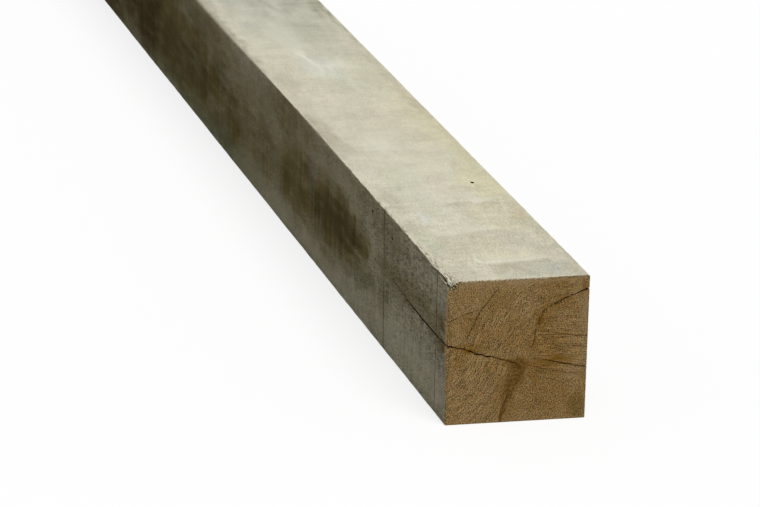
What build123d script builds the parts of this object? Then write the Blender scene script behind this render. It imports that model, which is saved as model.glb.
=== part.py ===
import os
from math import cos, radians, sin

from build123d import *

# Sawn oak post, one solid piece of timber, lying on its side.
# X runs along the grain, with the seasoned, split end at +X, and Z is up.
# The origin is at the middle of the underside. All sizes are in millimetres.

# The sawn section and the length that it is sold in
beam_length = 2000
section_width = 148
section_height = 152
arris_radius = 1.2

# The pith, the middle of the growth rings, measured from the middle of the width and the underside
pith_across = 1
pith_height = 63

# The main drying check, open on the left side and reaching in to the pith
main_check_mouth = 1.6
main_check_height = 84.5
main_check_length = 240
main_check_middle = 155
main_check_middle_depth = 44
main_check_middle_drop = 1.5
main_check_tail_depth = 6
main_check_tail_rise = 6.5
main_check_tail_mouth = 0.5

# The second drying check, open on the right side near the top
top_check_mouth = 1.6
top_check_height = 138
top_check_depth = 38
top_check_fall = 16
top_check_length = 190
top_check_tail_depth = 5
top_check_tail_mouth = 0.4

# The heart shake, a lens-shaped split in the end between the pith and the right side
heart_shake_start = 20
heart_shake_reach = 44
heart_shake_width = 1.2
heart_shake_rise = 4
heart_shake_fall = 8
heart_shake_length = 42

# The torn top left corner of the split end
tear_width = 6
tear_height = 5
tear_length = 46

# The stretch of the top left arris that is worn round, measured back from the split end
worn_start = 310
worn_middle = 520
worn_end = 780
worn_leg = 3
feather_edge = 0.15

# The wane, where the same arris grows round and stays so to the far end
wane_start = 700
wane_full = 960
wane_radius = 7
wane_facets = 8

# Chips out of the top left arris: distance back from the split end, length and depth
arris_chips = ((222, 9, 2.2), (260, 8, 2.6), (288, 11, 3.0), (674, 16, 3.6))

# Pin holes: one in the top face, two in the left side
pin_hole_radius = 1.3
pin_hole_depth = 24
top_pin_hole_back = 348
top_pin_hole_across = 45.4
side_pin_hole_radius = 0.9
side_pin_holes = ((228, 130), (313, 135))

# How far every cut runs out past the faces that it opens
overcut = 2

split_end = beam_length / 2
left_side = -section_width / 2
right_side = section_width / 2


def across(distance_back):
    # the plane of a cross section, a distance back from the split end, with Y across and Z up
    return Plane.YZ.offset(split_end - distance_back)


def check_outline(mouth, points):
    # a kinked line as a closed sliver, as wide as the mouth at its first point, that ends in a point
    steps = len(points) - 1
    half = [mouth / 2 * (1 - step / steps) for step in range(steps)]
    upper = [(y, z + gap) for (y, z), gap in zip(points, half)]
    lower = [(y, z - gap) for (y, z), gap in zip(points, half)]
    return upper + [points[-1]] + lower[::-1]


def closed_face(distance_back, outline):
    # a closed outline in one cross section, as a face to be lofted to the next
    with BuildSketch(across(distance_back)) as section:
        with BuildLine():
            Polyline(*outline, close=True)
        make_face()
    return section.sketch


def main_check_points(height, depth):
    # the kinked line from the left side towards the pith, with the shape kept as the depth shrinks
    full_depth = pith_across - left_side
    share = depth / full_depth
    fall = (main_check_height - pith_height) * share
    kinks = ((0, 0), (0.22, 0.16), (0.43, 0.40), (0.68, 0.68), (1, 1))
    inside = [(left_side + across_share * depth, height - fall_share * fall)
              for across_share, fall_share in kinks]
    return [(left_side - overcut, height)] + inside


def top_check_points(depth):
    # the nearly straight line from the right side down towards the middle
    fall = top_check_fall * depth / top_check_depth
    kinks = ((0, 0), (0.35, 0.30), (0.65, 0.58), (1, 1))
    inside = [(right_side - across_share * depth, top_check_height - fall_share * fall)
              for across_share, fall_share in kinks]
    return [(right_side + overcut, top_check_height)] + inside


def shake_outline(width):
    # a flat lens between the heart and the right side
    start = (pith_across + heart_shake_start, pith_height + heart_shake_rise)
    end = (start[0] + heart_shake_reach, start[1] - heart_shake_fall)
    middle = ((start[0] + end[0]) / 2, (start[1] + end[1]) / 2)
    return [start, (middle[0], middle[1] + width / 2), end, (middle[0], middle[1] - width / 2)]


def arris_corner(leg_across, leg_down):
    # the corner that is missing from the top left arris, run out past both faces
    return [
        (left_side - overcut, section_height - leg_down),
        (left_side, section_height - leg_down),
        (left_side + leg_across, section_height),
        (left_side + leg_across, section_height + overcut),
        (left_side - overcut, section_height + overcut),
    ]


def round_corner(radius):
    # the corner that a quarter circle leaves out of the same arris, as short straight steps
    angles = [radians(90 * step / wane_facets) for step in range(wane_facets + 1)]
    arc = [(left_side + radius * (1 - cos(angle)), section_height - radius * (1 - sin(angle)))
           for angle in angles]
    return (
        [(left_side - overcut, section_height - radius)]
        + arc
        + [(left_side + radius, section_height + overcut), (left_side - overcut, section_height + overcut)]
    )


with BuildPart() as oak_beam:
    # the sawn blank
    with BuildSketch(across(beam_length)):
        with Locations((0, section_height / 2)):
            Rectangle(section_width, section_height)
    extrude(amount=beam_length)
    fillet(oak_beam.edges().filter_by(Axis.X), radius=arris_radius)

    # the main check closes along the left side as it gets shallower
    main_full = main_check_points(main_check_height, pith_across - left_side)
    main_half = main_check_points(main_check_height - main_check_middle_drop, main_check_middle_depth)
    main_tail = main_check_points(main_check_height + main_check_tail_rise, main_check_tail_depth)
    main_check = [
        closed_face(-overcut, check_outline(main_check_mouth, main_full)),
        closed_face(main_check_middle, check_outline(main_check_mouth, main_half)),
        closed_face(main_check_length, check_outline(main_check_tail_mouth, main_tail)),
    ]
    loft(main_check, ruled=True, mode=Mode.SUBTRACT)

    # the top check closes along the right side
    top_full = top_check_points(top_check_depth)
    top_tail = top_check_points(top_check_tail_depth)
    top_check = [
        closed_face(-overcut, check_outline(top_check_mouth, top_full)),
        closed_face(top_check_length, check_outline(top_check_tail_mouth, top_tail)),
    ]
    loft(top_check, ruled=True, mode=Mode.SUBTRACT)

    # the heart shake is a lens in the end face that tapers away into the timber
    heart_shake = [
        closed_face(-overcut, shake_outline(heart_shake_width)),
        closed_face(heart_shake_length, shake_outline(feather_edge)),
    ]
    loft(heart_shake, ruled=True, mode=Mode.SUBTRACT)

    # the torn corner runs out along the arris
    torn_corner = [
        closed_face(-overcut, arris_corner(tear_width, tear_height)),
        closed_face(tear_length, arris_corner(arris_radius, arris_radius)),
    ]
    loft(torn_corner, ruled=True, mode=Mode.SUBTRACT)

    # the worn stretch of the same arris
    worn_arris = [
        closed_face(worn_start, arris_corner(arris_radius, arris_radius)),
        closed_face(worn_middle, arris_corner(worn_leg, worn_leg)),
        closed_face(worn_end, arris_corner(arris_radius, arris_radius)),
    ]
    loft(worn_arris, ruled=True, mode=Mode.SUBTRACT)

    # the wane on the far stretch of it
    wane = [
        closed_face(wane_start, round_corner(arris_radius)),
        closed_face(wane_full, round_corner(wane_radius)),
        closed_face(beam_length + overcut, round_corner(wane_radius)),
    ]
    loft(wane, ruled=True, mode=Mode.SUBTRACT)

    # each chip is a three-cornered notch, steep at its near side and long at its far side
    for distance_back, chip_length, chip_depth in arris_chips:
        with BuildSketch(Plane.XY.offset(section_height - chip_depth)):
            with BuildLine():
                Polyline(
                    (split_end - distance_back, left_side - overcut),
                    (split_end - distance_back, left_side),
                    (split_end - distance_back - chip_length / 4, left_side + chip_depth),
                    (split_end - distance_back - chip_length, left_side),
                    (split_end - distance_back - chip_length, left_side - overcut),
                    close=True,
                )
            make_face()
        extrude(amount=chip_depth + overcut, mode=Mode.SUBTRACT)

    # the pin holes
    with Locations((split_end - top_pin_hole_back, top_pin_hole_across, section_height)):
        Hole(pin_hole_radius, pin_hole_depth)
    for distance_back, height in side_pin_holes:
        with Locations(Plane.XZ.offset(-left_side)):
            with Locations((split_end - distance_back, height)):
                Hole(side_pin_hole_radius, pin_hole_depth)

oak_beam.part.label = "oak_beam"

os.makedirs("parts", exist_ok=True)
export_step(oak_beam.part, "parts/oak_beam.step")
print("oak beam volume", round(oak_beam.part.volume), "mm3, solids", len(oak_beam.part.solids()))
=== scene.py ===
from math import cos, pi, radians, sin

import bpy
import numpy as np
from mathutils import Matrix, Vector

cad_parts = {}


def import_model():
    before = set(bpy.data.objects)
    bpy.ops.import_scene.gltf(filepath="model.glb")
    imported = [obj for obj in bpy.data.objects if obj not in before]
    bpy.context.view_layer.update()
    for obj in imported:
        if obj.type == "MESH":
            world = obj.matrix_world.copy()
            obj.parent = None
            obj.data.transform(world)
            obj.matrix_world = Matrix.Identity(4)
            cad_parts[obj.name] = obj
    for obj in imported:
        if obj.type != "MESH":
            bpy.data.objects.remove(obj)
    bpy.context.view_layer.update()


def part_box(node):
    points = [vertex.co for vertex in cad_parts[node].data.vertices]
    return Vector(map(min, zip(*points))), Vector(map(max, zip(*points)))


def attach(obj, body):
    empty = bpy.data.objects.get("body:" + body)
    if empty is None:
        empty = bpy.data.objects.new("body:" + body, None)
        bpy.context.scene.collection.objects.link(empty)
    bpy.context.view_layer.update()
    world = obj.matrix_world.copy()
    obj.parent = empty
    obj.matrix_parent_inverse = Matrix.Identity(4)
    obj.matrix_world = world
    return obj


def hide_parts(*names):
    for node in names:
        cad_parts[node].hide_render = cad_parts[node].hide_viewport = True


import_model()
print("frame loaded")

mm = 0.001  # the dictionaries and tables hold millimetres
beamLow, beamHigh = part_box("oak_beam")
nearEnd = beamHigh[0]  # the split, fresh-cut end
farEnd = beamLow[0]
leftSide = beamLow[1]
rightSide = beamHigh[1]
beamLength = nearEnd - farEnd
beamWidth = rightSide - leftSide
beamHeight = beamHigh[2]


# small helpers for shapes, which take arrays and give arrays back
def blend(share):
    # 0 to 1 with level ends: 3t^2 - 2t^3
    t = np.clip(share, 0, 1)
    return t * t * (3 - 2 * t)


def hump(distance, reach):
    # a bell that falls away from 1 on both sides: e^-(distance / reach)^2
    return np.exp(-(distance / reach) ** 2)


def past(value, edge, soft):
    # 0 up to an edge and 1 from a soft stretch beyond it on, both in millimetres
    return blend((value - edge * mm) / (soft * mm))


def before(value, edge, soft):
    # 1 until a soft stretch before an edge and 0 from the edge on, both in millimetres
    return blend((edge * mm - value) / (soft * mm))


def along(table, place):
    # a value read off a short line of (place, value) in millimetres, given back in metres
    places, values = zip(*table)
    return np.interp(place / mm, places, values) * mm


def latticeNoise(u, v, cellU, cellV, seed):
    # random heights on a lattice of cells, blended smoothly between its corners, from 0 to 1
    size = 256
    heights = np.random.default_rng(seed).random((size, size))
    cellsU, cellsV = u / cellU, v / cellV
    firstU, firstV = np.floor(cellsU).astype(int), np.floor(cellsV).astype(int)
    shareU, shareV = blend(cellsU - firstU), blend(cellsV - firstV)

    def corner(stepU, stepV):
        return heights[(firstU + stepU) % size, (firstV + stepV) % size]

    lower = corner(0, 0) * (1 - shareU) + corner(1, 0) * shareU
    upper = corner(0, 1) * (1 - shareU) + corner(1, 1) * shareU
    return lower * (1 - shareV) + upper * shareV


def lineNoise(place, cell, seed):
    # the same along a single line, with its cells in millimetres
    return latticeNoise(place, place * 0, cell * mm, 1, seed)


def evenNoise(u, v, cell, seed):
    # the same with cells as wide as they are long, in millimetres
    return latticeNoise(u, v, cell * mm, cell * mm, seed)


def crowdedPlaces(length, count, crowds):
    # count + 1 places from 0 to length, closer together near each crowd (place, strength, reach):
    # the density 1 + sum of strength * exp(-distance / reach) is added up and shared out evenly
    fine = np.linspace(0, length, 8001)
    density = np.ones_like(fine)
    for place, strength, reach in crowds:
        density += strength * np.exp(-np.abs(fine - place * mm) / (reach * mm))
    total = np.concatenate(([0], np.cumsum((density[1:] + density[:-1]) / 2)))
    return np.interp(np.linspace(0, total[-1], count + 1), total, fine)


# the seed of each kind of chance
seeds = {
    "arris": 11, "arrisSlow": 31, "wander": 51, "leftRelief": 71, "rightRelief": 81, "topRelief": 91,
    "bottomRelief": 101, "splinterTop": 111, "splinterLeft": 112, "endMarks": 91, "endPatches": 92,
    "tornEnd": 93, "farEnd": 101, "jag": 106, "swell": 107, "stain": 301, "stainFine": 302, "sawnOff": 303,
    "sawnOffWide": 304, "hidden": 305, "arrisHighlight": 307, "slivers": 308, "mottle": 309, "breakOut": 310,
    "arrisLine": 311, "arrisLineFine": 312, "breakOutWide": 313, "rim": 314, "fissure": 315,
    "endStain": 321, "endStainFine": 322, "endStainUp": 323,
}

# the beam is one closed skin: a cross section carried back from the near end, with a cap on each end
beamShape = {
    "columns": 116,  # across the width, an even number
    "rows": 120,  # up the height, an even number
    "mainSeam": 60,  # the row that follows the main check
    "topSeam": 96,  # the row that follows the top check
    "edgeCrowd": 2.6,  # how much closer together they are at the arrises
    "edgeReach": 2.5,
    "nearLength": 450,  # the finely divided stretch
    "nearStations": 112,
    "nearCrowds": ((0, 9, 6), (45, 1.2, 8), (225, 1, 14), (262, 1.8, 8), (290, 1, 12)),
    "farStations": 112,
    "farCrowds": ((1550, 12, 8), (224, 2.5, 14)),
    "endEase": 0.35,  # how far the sawn end's rim is eased back
    "seamOpen": 0.3,  # a seam narrower than this is drawn together
    "sharpAngle": 38,  # degrees, past which an edge is shaded sharp
}

# the two checks, as lines of (place, value): on the near end the place runs across it, and on the sides
# back from it; the value is the height, how wide the check stands open, or how deep it is cut
mainCheck = {
    "endPath": (
        (-74, 84), (-68, 82.8), (-62, 81.2), (-55, 79.8), (-49, 77.4), (-43, 74.2), (-36, 72.6),
        (-30, 71.2), (-24, 69.8), (-17, 67.4), (-11, 65.6), (-4, 63.4), (2, 62), (12, 65), (27, 65),
        (33, 63.4), (40, 62), (46, 60.6), (53, 59), (59, 57.6), (65, 56.2), (74, 54.6),
    ),
    "endGap": (
        (-74, 1.5), (-68, 1.3), (-58, 1.1), (-43, 1.0), (-34, 0.9), (-24, 0.75), (-14, 0.6), (-4, 0.35),
        (2, 0), (26, 0), (32, 0.3), (40, 0.4), (47, 0.6), (54, 0.6), (61, 0.4), (74, 0.35),
    ),
    "endDepth": (
        (-74, 22), (-58, 17), (-34, 11), (-14, 6), (-2, 2), (2, 0), (22, 0), (38, 1.2), (50, 2.5),
        (60, 1.5), (74, 1.5),
    ),
    "leftPath": (
        (0, 84), (20, 83.4), (70, 82.5), (100, 82.4), (153, 83.4), (180, 84.6), (198, 86), (216, 88.5),
        (235, 95), (290, 94), (430, 78),
    ),
    "leftGap": (
        (0, 1.5), (14, 1.3), (30, 1.0), (48, 1.4), (80, 1.8), (130, 1.6), (155, 1.0), (168, 0.35),
        (194, 0.35), (206, 0.7), (226, 0.7), (238, 0),
    ),
    "leftDepth": ((0, 22), (50, 18), (130, 12), (155, 8), (168, 3), (194, 3), (210, 4), (238, 0)),
    "rightPath": ((0, 54.6), (40, 55.2), (300, 74)),
    "rightGap": ((0, 0.35), (22, 0.3), (26, 0)),
    "rightDepth": ((0, 1.5), (22, 0.8), (26, 0)),
    "reach": 75,  # how far its floor slopes in from the sides
}

topCheck = {
    "endPath": (
        (-74, 109.5), (-69, 111), (-60, 114.5), (-50, 118), (-40, 121.5), (-25, 122.5), (0, 121),
        (20, 119), (30, 119.5), (36, 122), (41, 125), (48.5, 129.5), (56, 132), (63.5, 135),
        (74, 138.2),
    ),
    "endGap": (
        (-74, 0.3), (-60, 0.15), (-42, 0.1), (-38, 0), (36, 0), (41, 0.4), (48, 0.7), (56, 0.7),
        (63, 0.9), (70, 1.1), (74, 1.5),
    ),
    "endDepth": (
        (-74, 1), (-60, 1), (-42, 0.5), (-38, 0), (36, 0), (41, 2.5), (48, 7), (60, 11), (74, 16),
    ),
    "leftPath": ((0, 109.5), (14, 109.8), (160, 118)),
    "leftGap": ((0, 0.3), (10, 0.2), (14, 0)),
    "leftDepth": ((0, 1), (10, 0.5), (14, 0)),
    "rightPath": ((0, 138.2), (90, 137.2), (190, 134), (400, 123)),
    "rightGap": ((0, 1.5), (60, 1.4), (130, 1.0), (190, 0.4), (194, 0)),
    "rightDepth": ((0, 16), (60, 12), (130, 7), (190, 1.5), (194, 0)),
    "reach": 40,
}

arrisWear = {
    "plain": 1.3,  # radius of the worn arrises
    "uneven": 0.7,
    "unevenLength": 14,
    "slowLength": 90,
    "tornRadius": 12.5,  # top left arris, at the near end
    "tornLength": 46,
    "tornFall": 1.7,  # how quickly the tear gives out
    "tornRough": 2.2,  # depth, reach and cell of the rough wood where it meets the end
    "tornRoughReach": 9,
    "tornRoughCell": 1.6,
    "wornRadius": 3.4,  # top left arris, the stretch worn round
    "wornPlace": 520,
    "wornReach": 190,
    "wane": ((0, 0), (700, 0), (830, 3.4), (960, 7), (2000, 7)),  # its radius on the far stretch
    "scrapedRadius": 3.4,  # just past the torn end
    "scrapedPlace": 54,
    "scrapedReach": 15,
    "chips": ((222, 6, 1.4), (260, 6, 1.6), (288, 7, 1.8), (674, 9, 2.6)),  # place, half length, depth
    "chipRadius": 1.6,
    "splinterDepth": 0.9,
    "splinterReach": 7,
    "splinterLength": 110,
    "splinterLean": 0.02,
    "furrowLength": 26,
    "furrowWidth": 0.8,
    "fissurePath": (
        (0, -6.6), (7, -6.2), (11, -5.4), (15, -3.2), (20, -1.8), (26, -0.9), (34, -1.2), (42, -1.8),
        (61, -3.2), (70, -3.4),
    ),
    "fissureHalf": ((0, 1.6), (8, 1.5), (16, 1.7), (25, 1.2), (42, 0.9), (62, 0.7), (68, 0)),
    "fissureDepth": ((0, 3.0), (16, 2.8), (30, 1.8), (45, 1.0), (66, 0)),
}

pinHoles = (  # face, distance back, place across or up, radius
    ("top", 348, 45.4, 1.3),
    ("left", 228, 130, 0.9),
    ("left", 313, 135, 0.9),
)

# share of the radius, and depth: the middle of a pin hole, its inner ring and its rim
holeRings = ((0, 9), (0.85, 6), (1, 0))

sawnFace = {
    "wander": 0.16,  # how far the saw wandered from a flat face
    "wanderLength": 260,
    "marks": 0.16,  # depth of the saw marks that run across each face
    "markSpacing": 12,
    "markLean": 0.03,
    "markLength": 300,
    "fibre": 0.16,  # depth of the raised fibres
    "fibreLength": 90,
    "fibreWidth": 2.6,
    "coarse": 1.5,  # depth of the coarse fibres, against the fine ones
    "coarseLength": 140,
    "coarseWidth": 9,
    "riseAlongLeft": 0.17,  # the grain rises towards the near end, seen from the left
    "driftAcrossTop": 0.12,  # and drifts to the left, seen from above
    "stopPlaces": (46, 262),  # saw stops, where the cut was set down again
    "stopDepth": 0.5,
    "stopWidth": 2.2,
    "arrisFade": 3,  # the relief fades out this close to an arris
    "undersideShare": 0.4,
    "endMarks": 0.12,
    "endMarkSpacing": 2.6,
    "endMarkLength": 60,
    "endMarkLean": 0.15,
    "endPatch": 5,
    "farEndDepth": 0.2,
    "farEndCells": (9, 3),
}

# how a check's line and width vary on the end, away from its two sides
endWander = {"jag": 1.6, "jagCell": 2.3, "swell": 1.5, "swellCell": 2.4, "calm": 4}


def towardsEdges(length, count):
    # places across a face, closer together at its two arrises
    crowd = beamShape["edgeCrowd"], beamShape["edgeReach"]
    return crowdedPlaces(length, count, ((0, *crowd), (length / mm, *crowd)))


columns, rows = beamShape["columns"], beamShape["rows"]
columnPlaces, rowPlaces = towardsEdges(beamWidth, columns), towardsEdges(beamHeight, rows)
nearLength = beamShape["nearLength"] * mm
farLength = beamLength - nearLength
nearBack = crowdedPlaces(nearLength, beamShape["nearStations"], beamShape["nearCrowds"])
farBack = nearLength + crowdedPlaces(farLength, beamShape["farStations"], beamShape["farCrowds"])


def seamRows(mainHeight, topHeight, mainGap, topGap):
    # heights of all rows where the two seams run at these heights: straight steps between the underside,
    # the lips and floor of each seam, and the top
    seams = ((beamShape["mainSeam"], mainHeight, mainGap), (beamShape["topSeam"], topHeight, topGap))
    knots, heights = [0], [np.zeros_like(mainHeight)]
    for row, height, gap in seams:
        shut = rowPlaces[row + 1] - rowPlaces[row]
        opened = np.clip(gap / (beamShape["seamOpen"] * mm), 0, 1)
        half = shut * (1 - opened) + gap / 2 * opened
        knots += [row - 1, row, row + 1]
        heights += [height - half, height, height + half]
    knots.append(rows)
    heights.append(np.full_like(mainHeight, beamHeight))
    result = np.empty(np.shape(mainHeight) + (rows + 1,))
    for first, last, low, high in zip(knots[:-1], knots[1:], heights[:-1], heights[1:]):
        share = (rowPlaces[first:last + 1] - rowPlaces[first]) / (rowPlaces[last] - rowPlaces[first])
        result[..., first:last + 1] = low[..., None] + share * (high - low)[..., None]
    return result


def sideRows(back, side):
    # the rows of one side at each distance back, bent to follow the two checks there
    lines = [along(check[side + kind], back) for kind in ("Path", "Gap") for check in (mainCheck, topCheck)]
    return seamRows(*lines)


def arrisRadii(back):
    # radius of each arris, in the order left bottom, right bottom, right top, left top:
    # plain + uneven * noise. The last one also has the wear and the scrape as bells, the wane, the chips,
    # and the tear, which shrinks as (1 - distance / length)^fall
    radii = []
    for number in range(4):
        noise = lineNoise(back, arrisWear["unevenLength"], seeds["arris"] + number)
        slow = lineNoise(back, arrisWear["slowLength"], seeds["arrisSlow"] + number)
        radii.append((arrisWear["plain"] + arrisWear["uneven"] * (noise + slow - 1)) * mm)
    remaining = np.clip(1 - back / (arrisWear["tornLength"] * mm), 0, 1)
    torn = arrisWear["tornRadius"] * mm * remaining ** arrisWear["tornFall"]
    worn = arrisWear["wornRadius"] * mm * hump(
        back - arrisWear["wornPlace"] * mm, arrisWear["wornReach"] * mm)
    scraped = arrisWear["scrapedRadius"] * mm * hump(
        back - arrisWear["scrapedPlace"] * mm, arrisWear["scrapedReach"] * mm)
    chipped = np.zeros_like(back)
    for place, half, depth in arrisWear["chips"]:
        chipped += depth * arrisWear["chipRadius"] * mm * blend(1 - np.abs(back - place * mm) / (half * mm))
    rounded = np.maximum(np.maximum(radii[3], worn), along(arrisWear["wane"], back))
    radii[3] = rounded + torn + scraped + chipped
    return radii


def roundArrises(across, height, radii):
    # each square corner is turned into a quarter circle: a point in the corner's square keeps its larger
    # distance from the circle's centre, now along its own direction
    corners = ((-1, -1), (1, -1), (1, 1), (-1, 1))
    for (toRight, toTop), radius in zip(corners, radii):
        fromSide = beamWidth / 2 - toRight * across
        fromFace = beamHeight / 2 - toTop * (height - beamHeight / 2)
        p, q = radius - fromSide, radius - fromFace
        inside = (p > 0) & (q > 0)
        scale = np.where(inside, np.maximum(p, q) / np.maximum(np.hypot(p, q), 1e-9), 1)
        across = np.where(inside, toRight * (beamWidth / 2 - radius + p * scale), across)
        height = np.where(inside, beamHeight / 2 + toTop * (beamHeight / 2 - radius + q * scale), height)
    return across, height


def wanderIn(across, height, back):
    # the sawn faces drift in by a fraction of a millimetre over the length, each by wander * noise
    left, right, top = (
        sawnFace["wander"] * mm * lineNoise(back, sawnFace["wanderLength"], seeds["wander"] + number)
        for number in range(3))
    acrossShare = (across - leftSide) / beamWidth
    heightShare = height / beamHeight
    return across + left * (1 - acrossShare) - right * acrossShare, height - top * heightShare


def faceRelief(back, place, rise, seed):
    # how far a long face lies in: marks * noise across it, and fine and coarse fibres as depth * noise
    # drawn out along a grain that rises with the distance back
    def grained(lengthName, widthName, itsSeed):
        return latticeNoise(back, place + rise * back, sawnFace[lengthName] * mm, sawnFace[widthName] * mm,
                            itsSeed)

    leaning = back + sawnFace["markLean"] * place
    marks = latticeNoise(leaning, place, sawnFace["markSpacing"] * mm, sawnFace["markLength"] * mm, seed)
    fibres = grained("fibreLength", "fibreWidth", seed + 1)
    coarse = grained("coarseLength", "coarseWidth", seed + 2)
    depth = sawnFace["marks"] * marks + sawnFace["fibre"] * fibres
    return (depth + sawnFace["coarse"] * sawnFace["fibre"] * coarse) * mm


def stopRelief(back):
    # a shallow groove where the saw stood: depth * a bell, half as wide as the groove
    depth = np.zeros_like(back)
    for place in sawnFace["stopPlaces"]:
        depth += sawnFace["stopDepth"] * mm * hump(back - place * mm, sawnFace["stopWidth"] / 2 * mm)
    return depth


def splinters(back, fromArris, seed):
    # torn fibres beside the top left arris: narrow furrows of noise along it, times
    # depth * (1 - back / length)^0.7, that fade away with the distance from the arris
    near = np.clip(1 - back / (arrisWear["splinterLength"] * mm), 0, 1) ** 0.7
    close = blend(1 - fromArris / (arrisWear["splinterReach"] * mm))
    leaning = fromArris + arrisWear["splinterLean"] * back
    length, width = arrisWear["furrowLength"] * mm, arrisWear["furrowWidth"] * mm
    furrow = latticeNoise(back, leaning, length, width, seed)
    return arrisWear["splinterDepth"] * mm * near * close * blend((furrow - 0.45) / 0.3)


def drillHoles(backGrid, across, height, faces):
    # each pin hole gathers the five by five points nearest to it: the outer sixteen stand round its rim,
    # the next eight lower down inside, and the middle one at the bottom
    inwards = np.zeros_like(backGrid)
    steps = np.arange(-2, 3)
    stepBack, stepRing = np.meshgrid(steps, steps, indexing="ij")
    circle = np.maximum(np.abs(stepBack), np.abs(stepRing))
    shares, depths = (np.array(values)[circle] for values in zip(*holeRings))
    for face, place, level, radius in pinHoles:
        surface = across if face == "top" else height
        ring = np.flatnonzero(faces[face])
        row = np.abs(backGrid[:, 0] - place * mm).argmin()
        column = ring[np.abs(surface[row, ring] - level * mm).argmin()]
        turned = np.sign(surface[row, column + 1] - surface[row, column - 1])
        reach = shares * radius * mm / np.maximum(np.hypot(stepBack, stepRing), 1)
        at = row + stepBack, column + stepRing
        backGrid[at] = place * mm + stepBack * reach
        surface[at] = level * mm + turned * stepRing * reach
        inwards[at] = depths * mm
    return inwards


def fissureShare(back, fromArris):
    # 1 along the bottom of the torn fissure beside the top left arris, 0 outside it: a smooth step of
    # 1 - distance / half width
    half = along(arrisWear["fissureHalf"], back)
    off = np.abs(fromArris - along(arrisWear["fissurePath"], back))
    return blend(1 - off / np.maximum(half, 0.01 * mm)) * (half > 0)


def fissureCut(back, fromArris):
    # how far in from each of the two faces it lies: 0.7 of its depth, so that it is cut at 45 degrees
    return fissureShare(back, fromArris) * along(arrisWear["fissureDepth"], back) * 0.7


def tubeSections(back, step):
    # the skin of the long faces: one ring of points for each distance back, every step-th column and row.
    # Gives the points, the same before they are rounded and roughened, and their column and row
    i = np.arange(0, columns + 1, step)
    j = np.arange(0, rows + 1, step)
    ringI = np.concatenate((i[:-1], np.full(len(j) - 1, columns), i[:0:-1], np.zeros(len(j) - 1, int)))
    ringJ = np.concatenate((np.zeros(len(i) - 1, int), j[:-1], np.full(len(i) - 1, rows), j[:0:-1]))
    backGrid = np.repeat(back[:, None], len(ringI), axis=1)
    onLeft, onRight = ringI == 0, ringI == columns
    onTop, onBottom = ringJ == rows, ringJ == 0
    across = np.repeat(leftSide + columnPlaces[ringI][None, :], len(back), axis=0)
    height = np.repeat(rowPlaces[ringJ][None, :], len(back), axis=0)
    leftRows, rightRows = sideRows(back, "left"), sideRows(back, "right")
    height[:, onLeft] = leftRows[:, ringJ[onLeft]]
    height[:, onRight] = rightRows[:, ringJ[onRight]]
    holes = drillHoles(backGrid, across, height, {"top": onTop, "left": onLeft}) if step == 1 else 0
    flatAcross, flatHeight = across.copy(), height.copy()

    # relief, faded out at the arrises, where two faces meet
    fromArris = np.where(onLeft | onRight, np.minimum(height, beamHeight - height),
                         np.minimum(across - leftSide, rightSide - across))
    fade = blend(fromArris / (sawnFace["arrisFade"] * mm))
    rise, drift = sawnFace["riseAlongLeft"], -sawnFace["driftAcrossTop"]
    leftRelief = faceRelief(backGrid, height, rise, seeds["leftRelief"])
    rightRelief = faceRelief(backGrid, height, rise, seeds["rightRelief"])
    topRelief = faceRelief(backGrid, across, drift, seeds["topRelief"])
    bottomRelief = faceRelief(backGrid, across, drift, seeds["bottomRelief"])
    splinterTop = splinters(backGrid, across - leftSide, seeds["splinterTop"])
    splinterLeft = splinters(backGrid, beamHeight - height, seeds["splinterLeft"])
    roundTheCorner = np.where(onTop, across - leftSide, height - beamHeight)
    fissure = fissureCut(backGrid, roundTheCorner)
    across, height = roundArrises(across, height, [radius[:, None] for radius in arrisRadii(back)])
    across, height = wanderIn(across, height, backGrid)
    across = across + np.where(onLeft | onTop, fissure, 0)
    height = height - np.where(onLeft | onTop, fissure, 0)
    across = across + np.where(onLeft, fade * (leftRelief + stopRelief(backGrid)) + splinterLeft + holes, 0)
    across = across - np.where(onRight, fade * rightRelief, 0)
    height = height - np.where(onTop, fade * topRelief + splinterTop + holes, 0)
    bottomRelief = fade * bottomRelief * sawnFace["undersideShare"]
    height = height + np.where(onBottom & ~onLeft & ~onRight, bottomRelief, 0)
    return (nearEnd - backGrid, across, height), (backGrid, flatAcross, flatHeight), (ringI, ringJ)


def openSideSeams(place, across, height, back, ringI, ringJ):
    for check, row in ((mainCheck, beamShape["mainSeam"]), (topCheck, beamShape["topSeam"])):
        for side, column, inwards in (("left", 0, 1), ("right", columns, -1)):
            at = np.flatnonzero((ringI == column) & (ringJ == row))
            if len(at) == 0:
                continue
            depth = along(check[side + "Depth"], back)
            reach = check[side + "Gap"][-1][0] * mm
            slide = depth[0] * np.clip(1 - back / reach, 0, 1) if back[0] < reach else 0
            across[:, at[0]] += inwards * depth
            place[:, at[0]] -= slide


def endPath(check, across):
    # the line of a check across the near end, a little jagged away from the two sides
    fromSide = np.minimum(across - leftSide, rightSide - across)
    jag = lineNoise(across, endWander["jagCell"], seeds["jag"]) - 0.5
    away = blend(fromSide / (endWander["calm"] * mm))
    return along(check["endPath"], across) + endWander["jag"] * mm * jag * away


def endGap(check, across):
    # how wide it stands open there, which comes and goes away from the two sides
    fromSide = np.minimum(across - leftSide, rightSide - across)
    swell = lineNoise(across, endWander["swellCell"], seeds["swell"]) - 0.5
    away = blend(fromSide / (endWander["calm"] * mm))
    return along(check["endGap"], across) * (1 + endWander["swell"] * swell * away)


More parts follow.
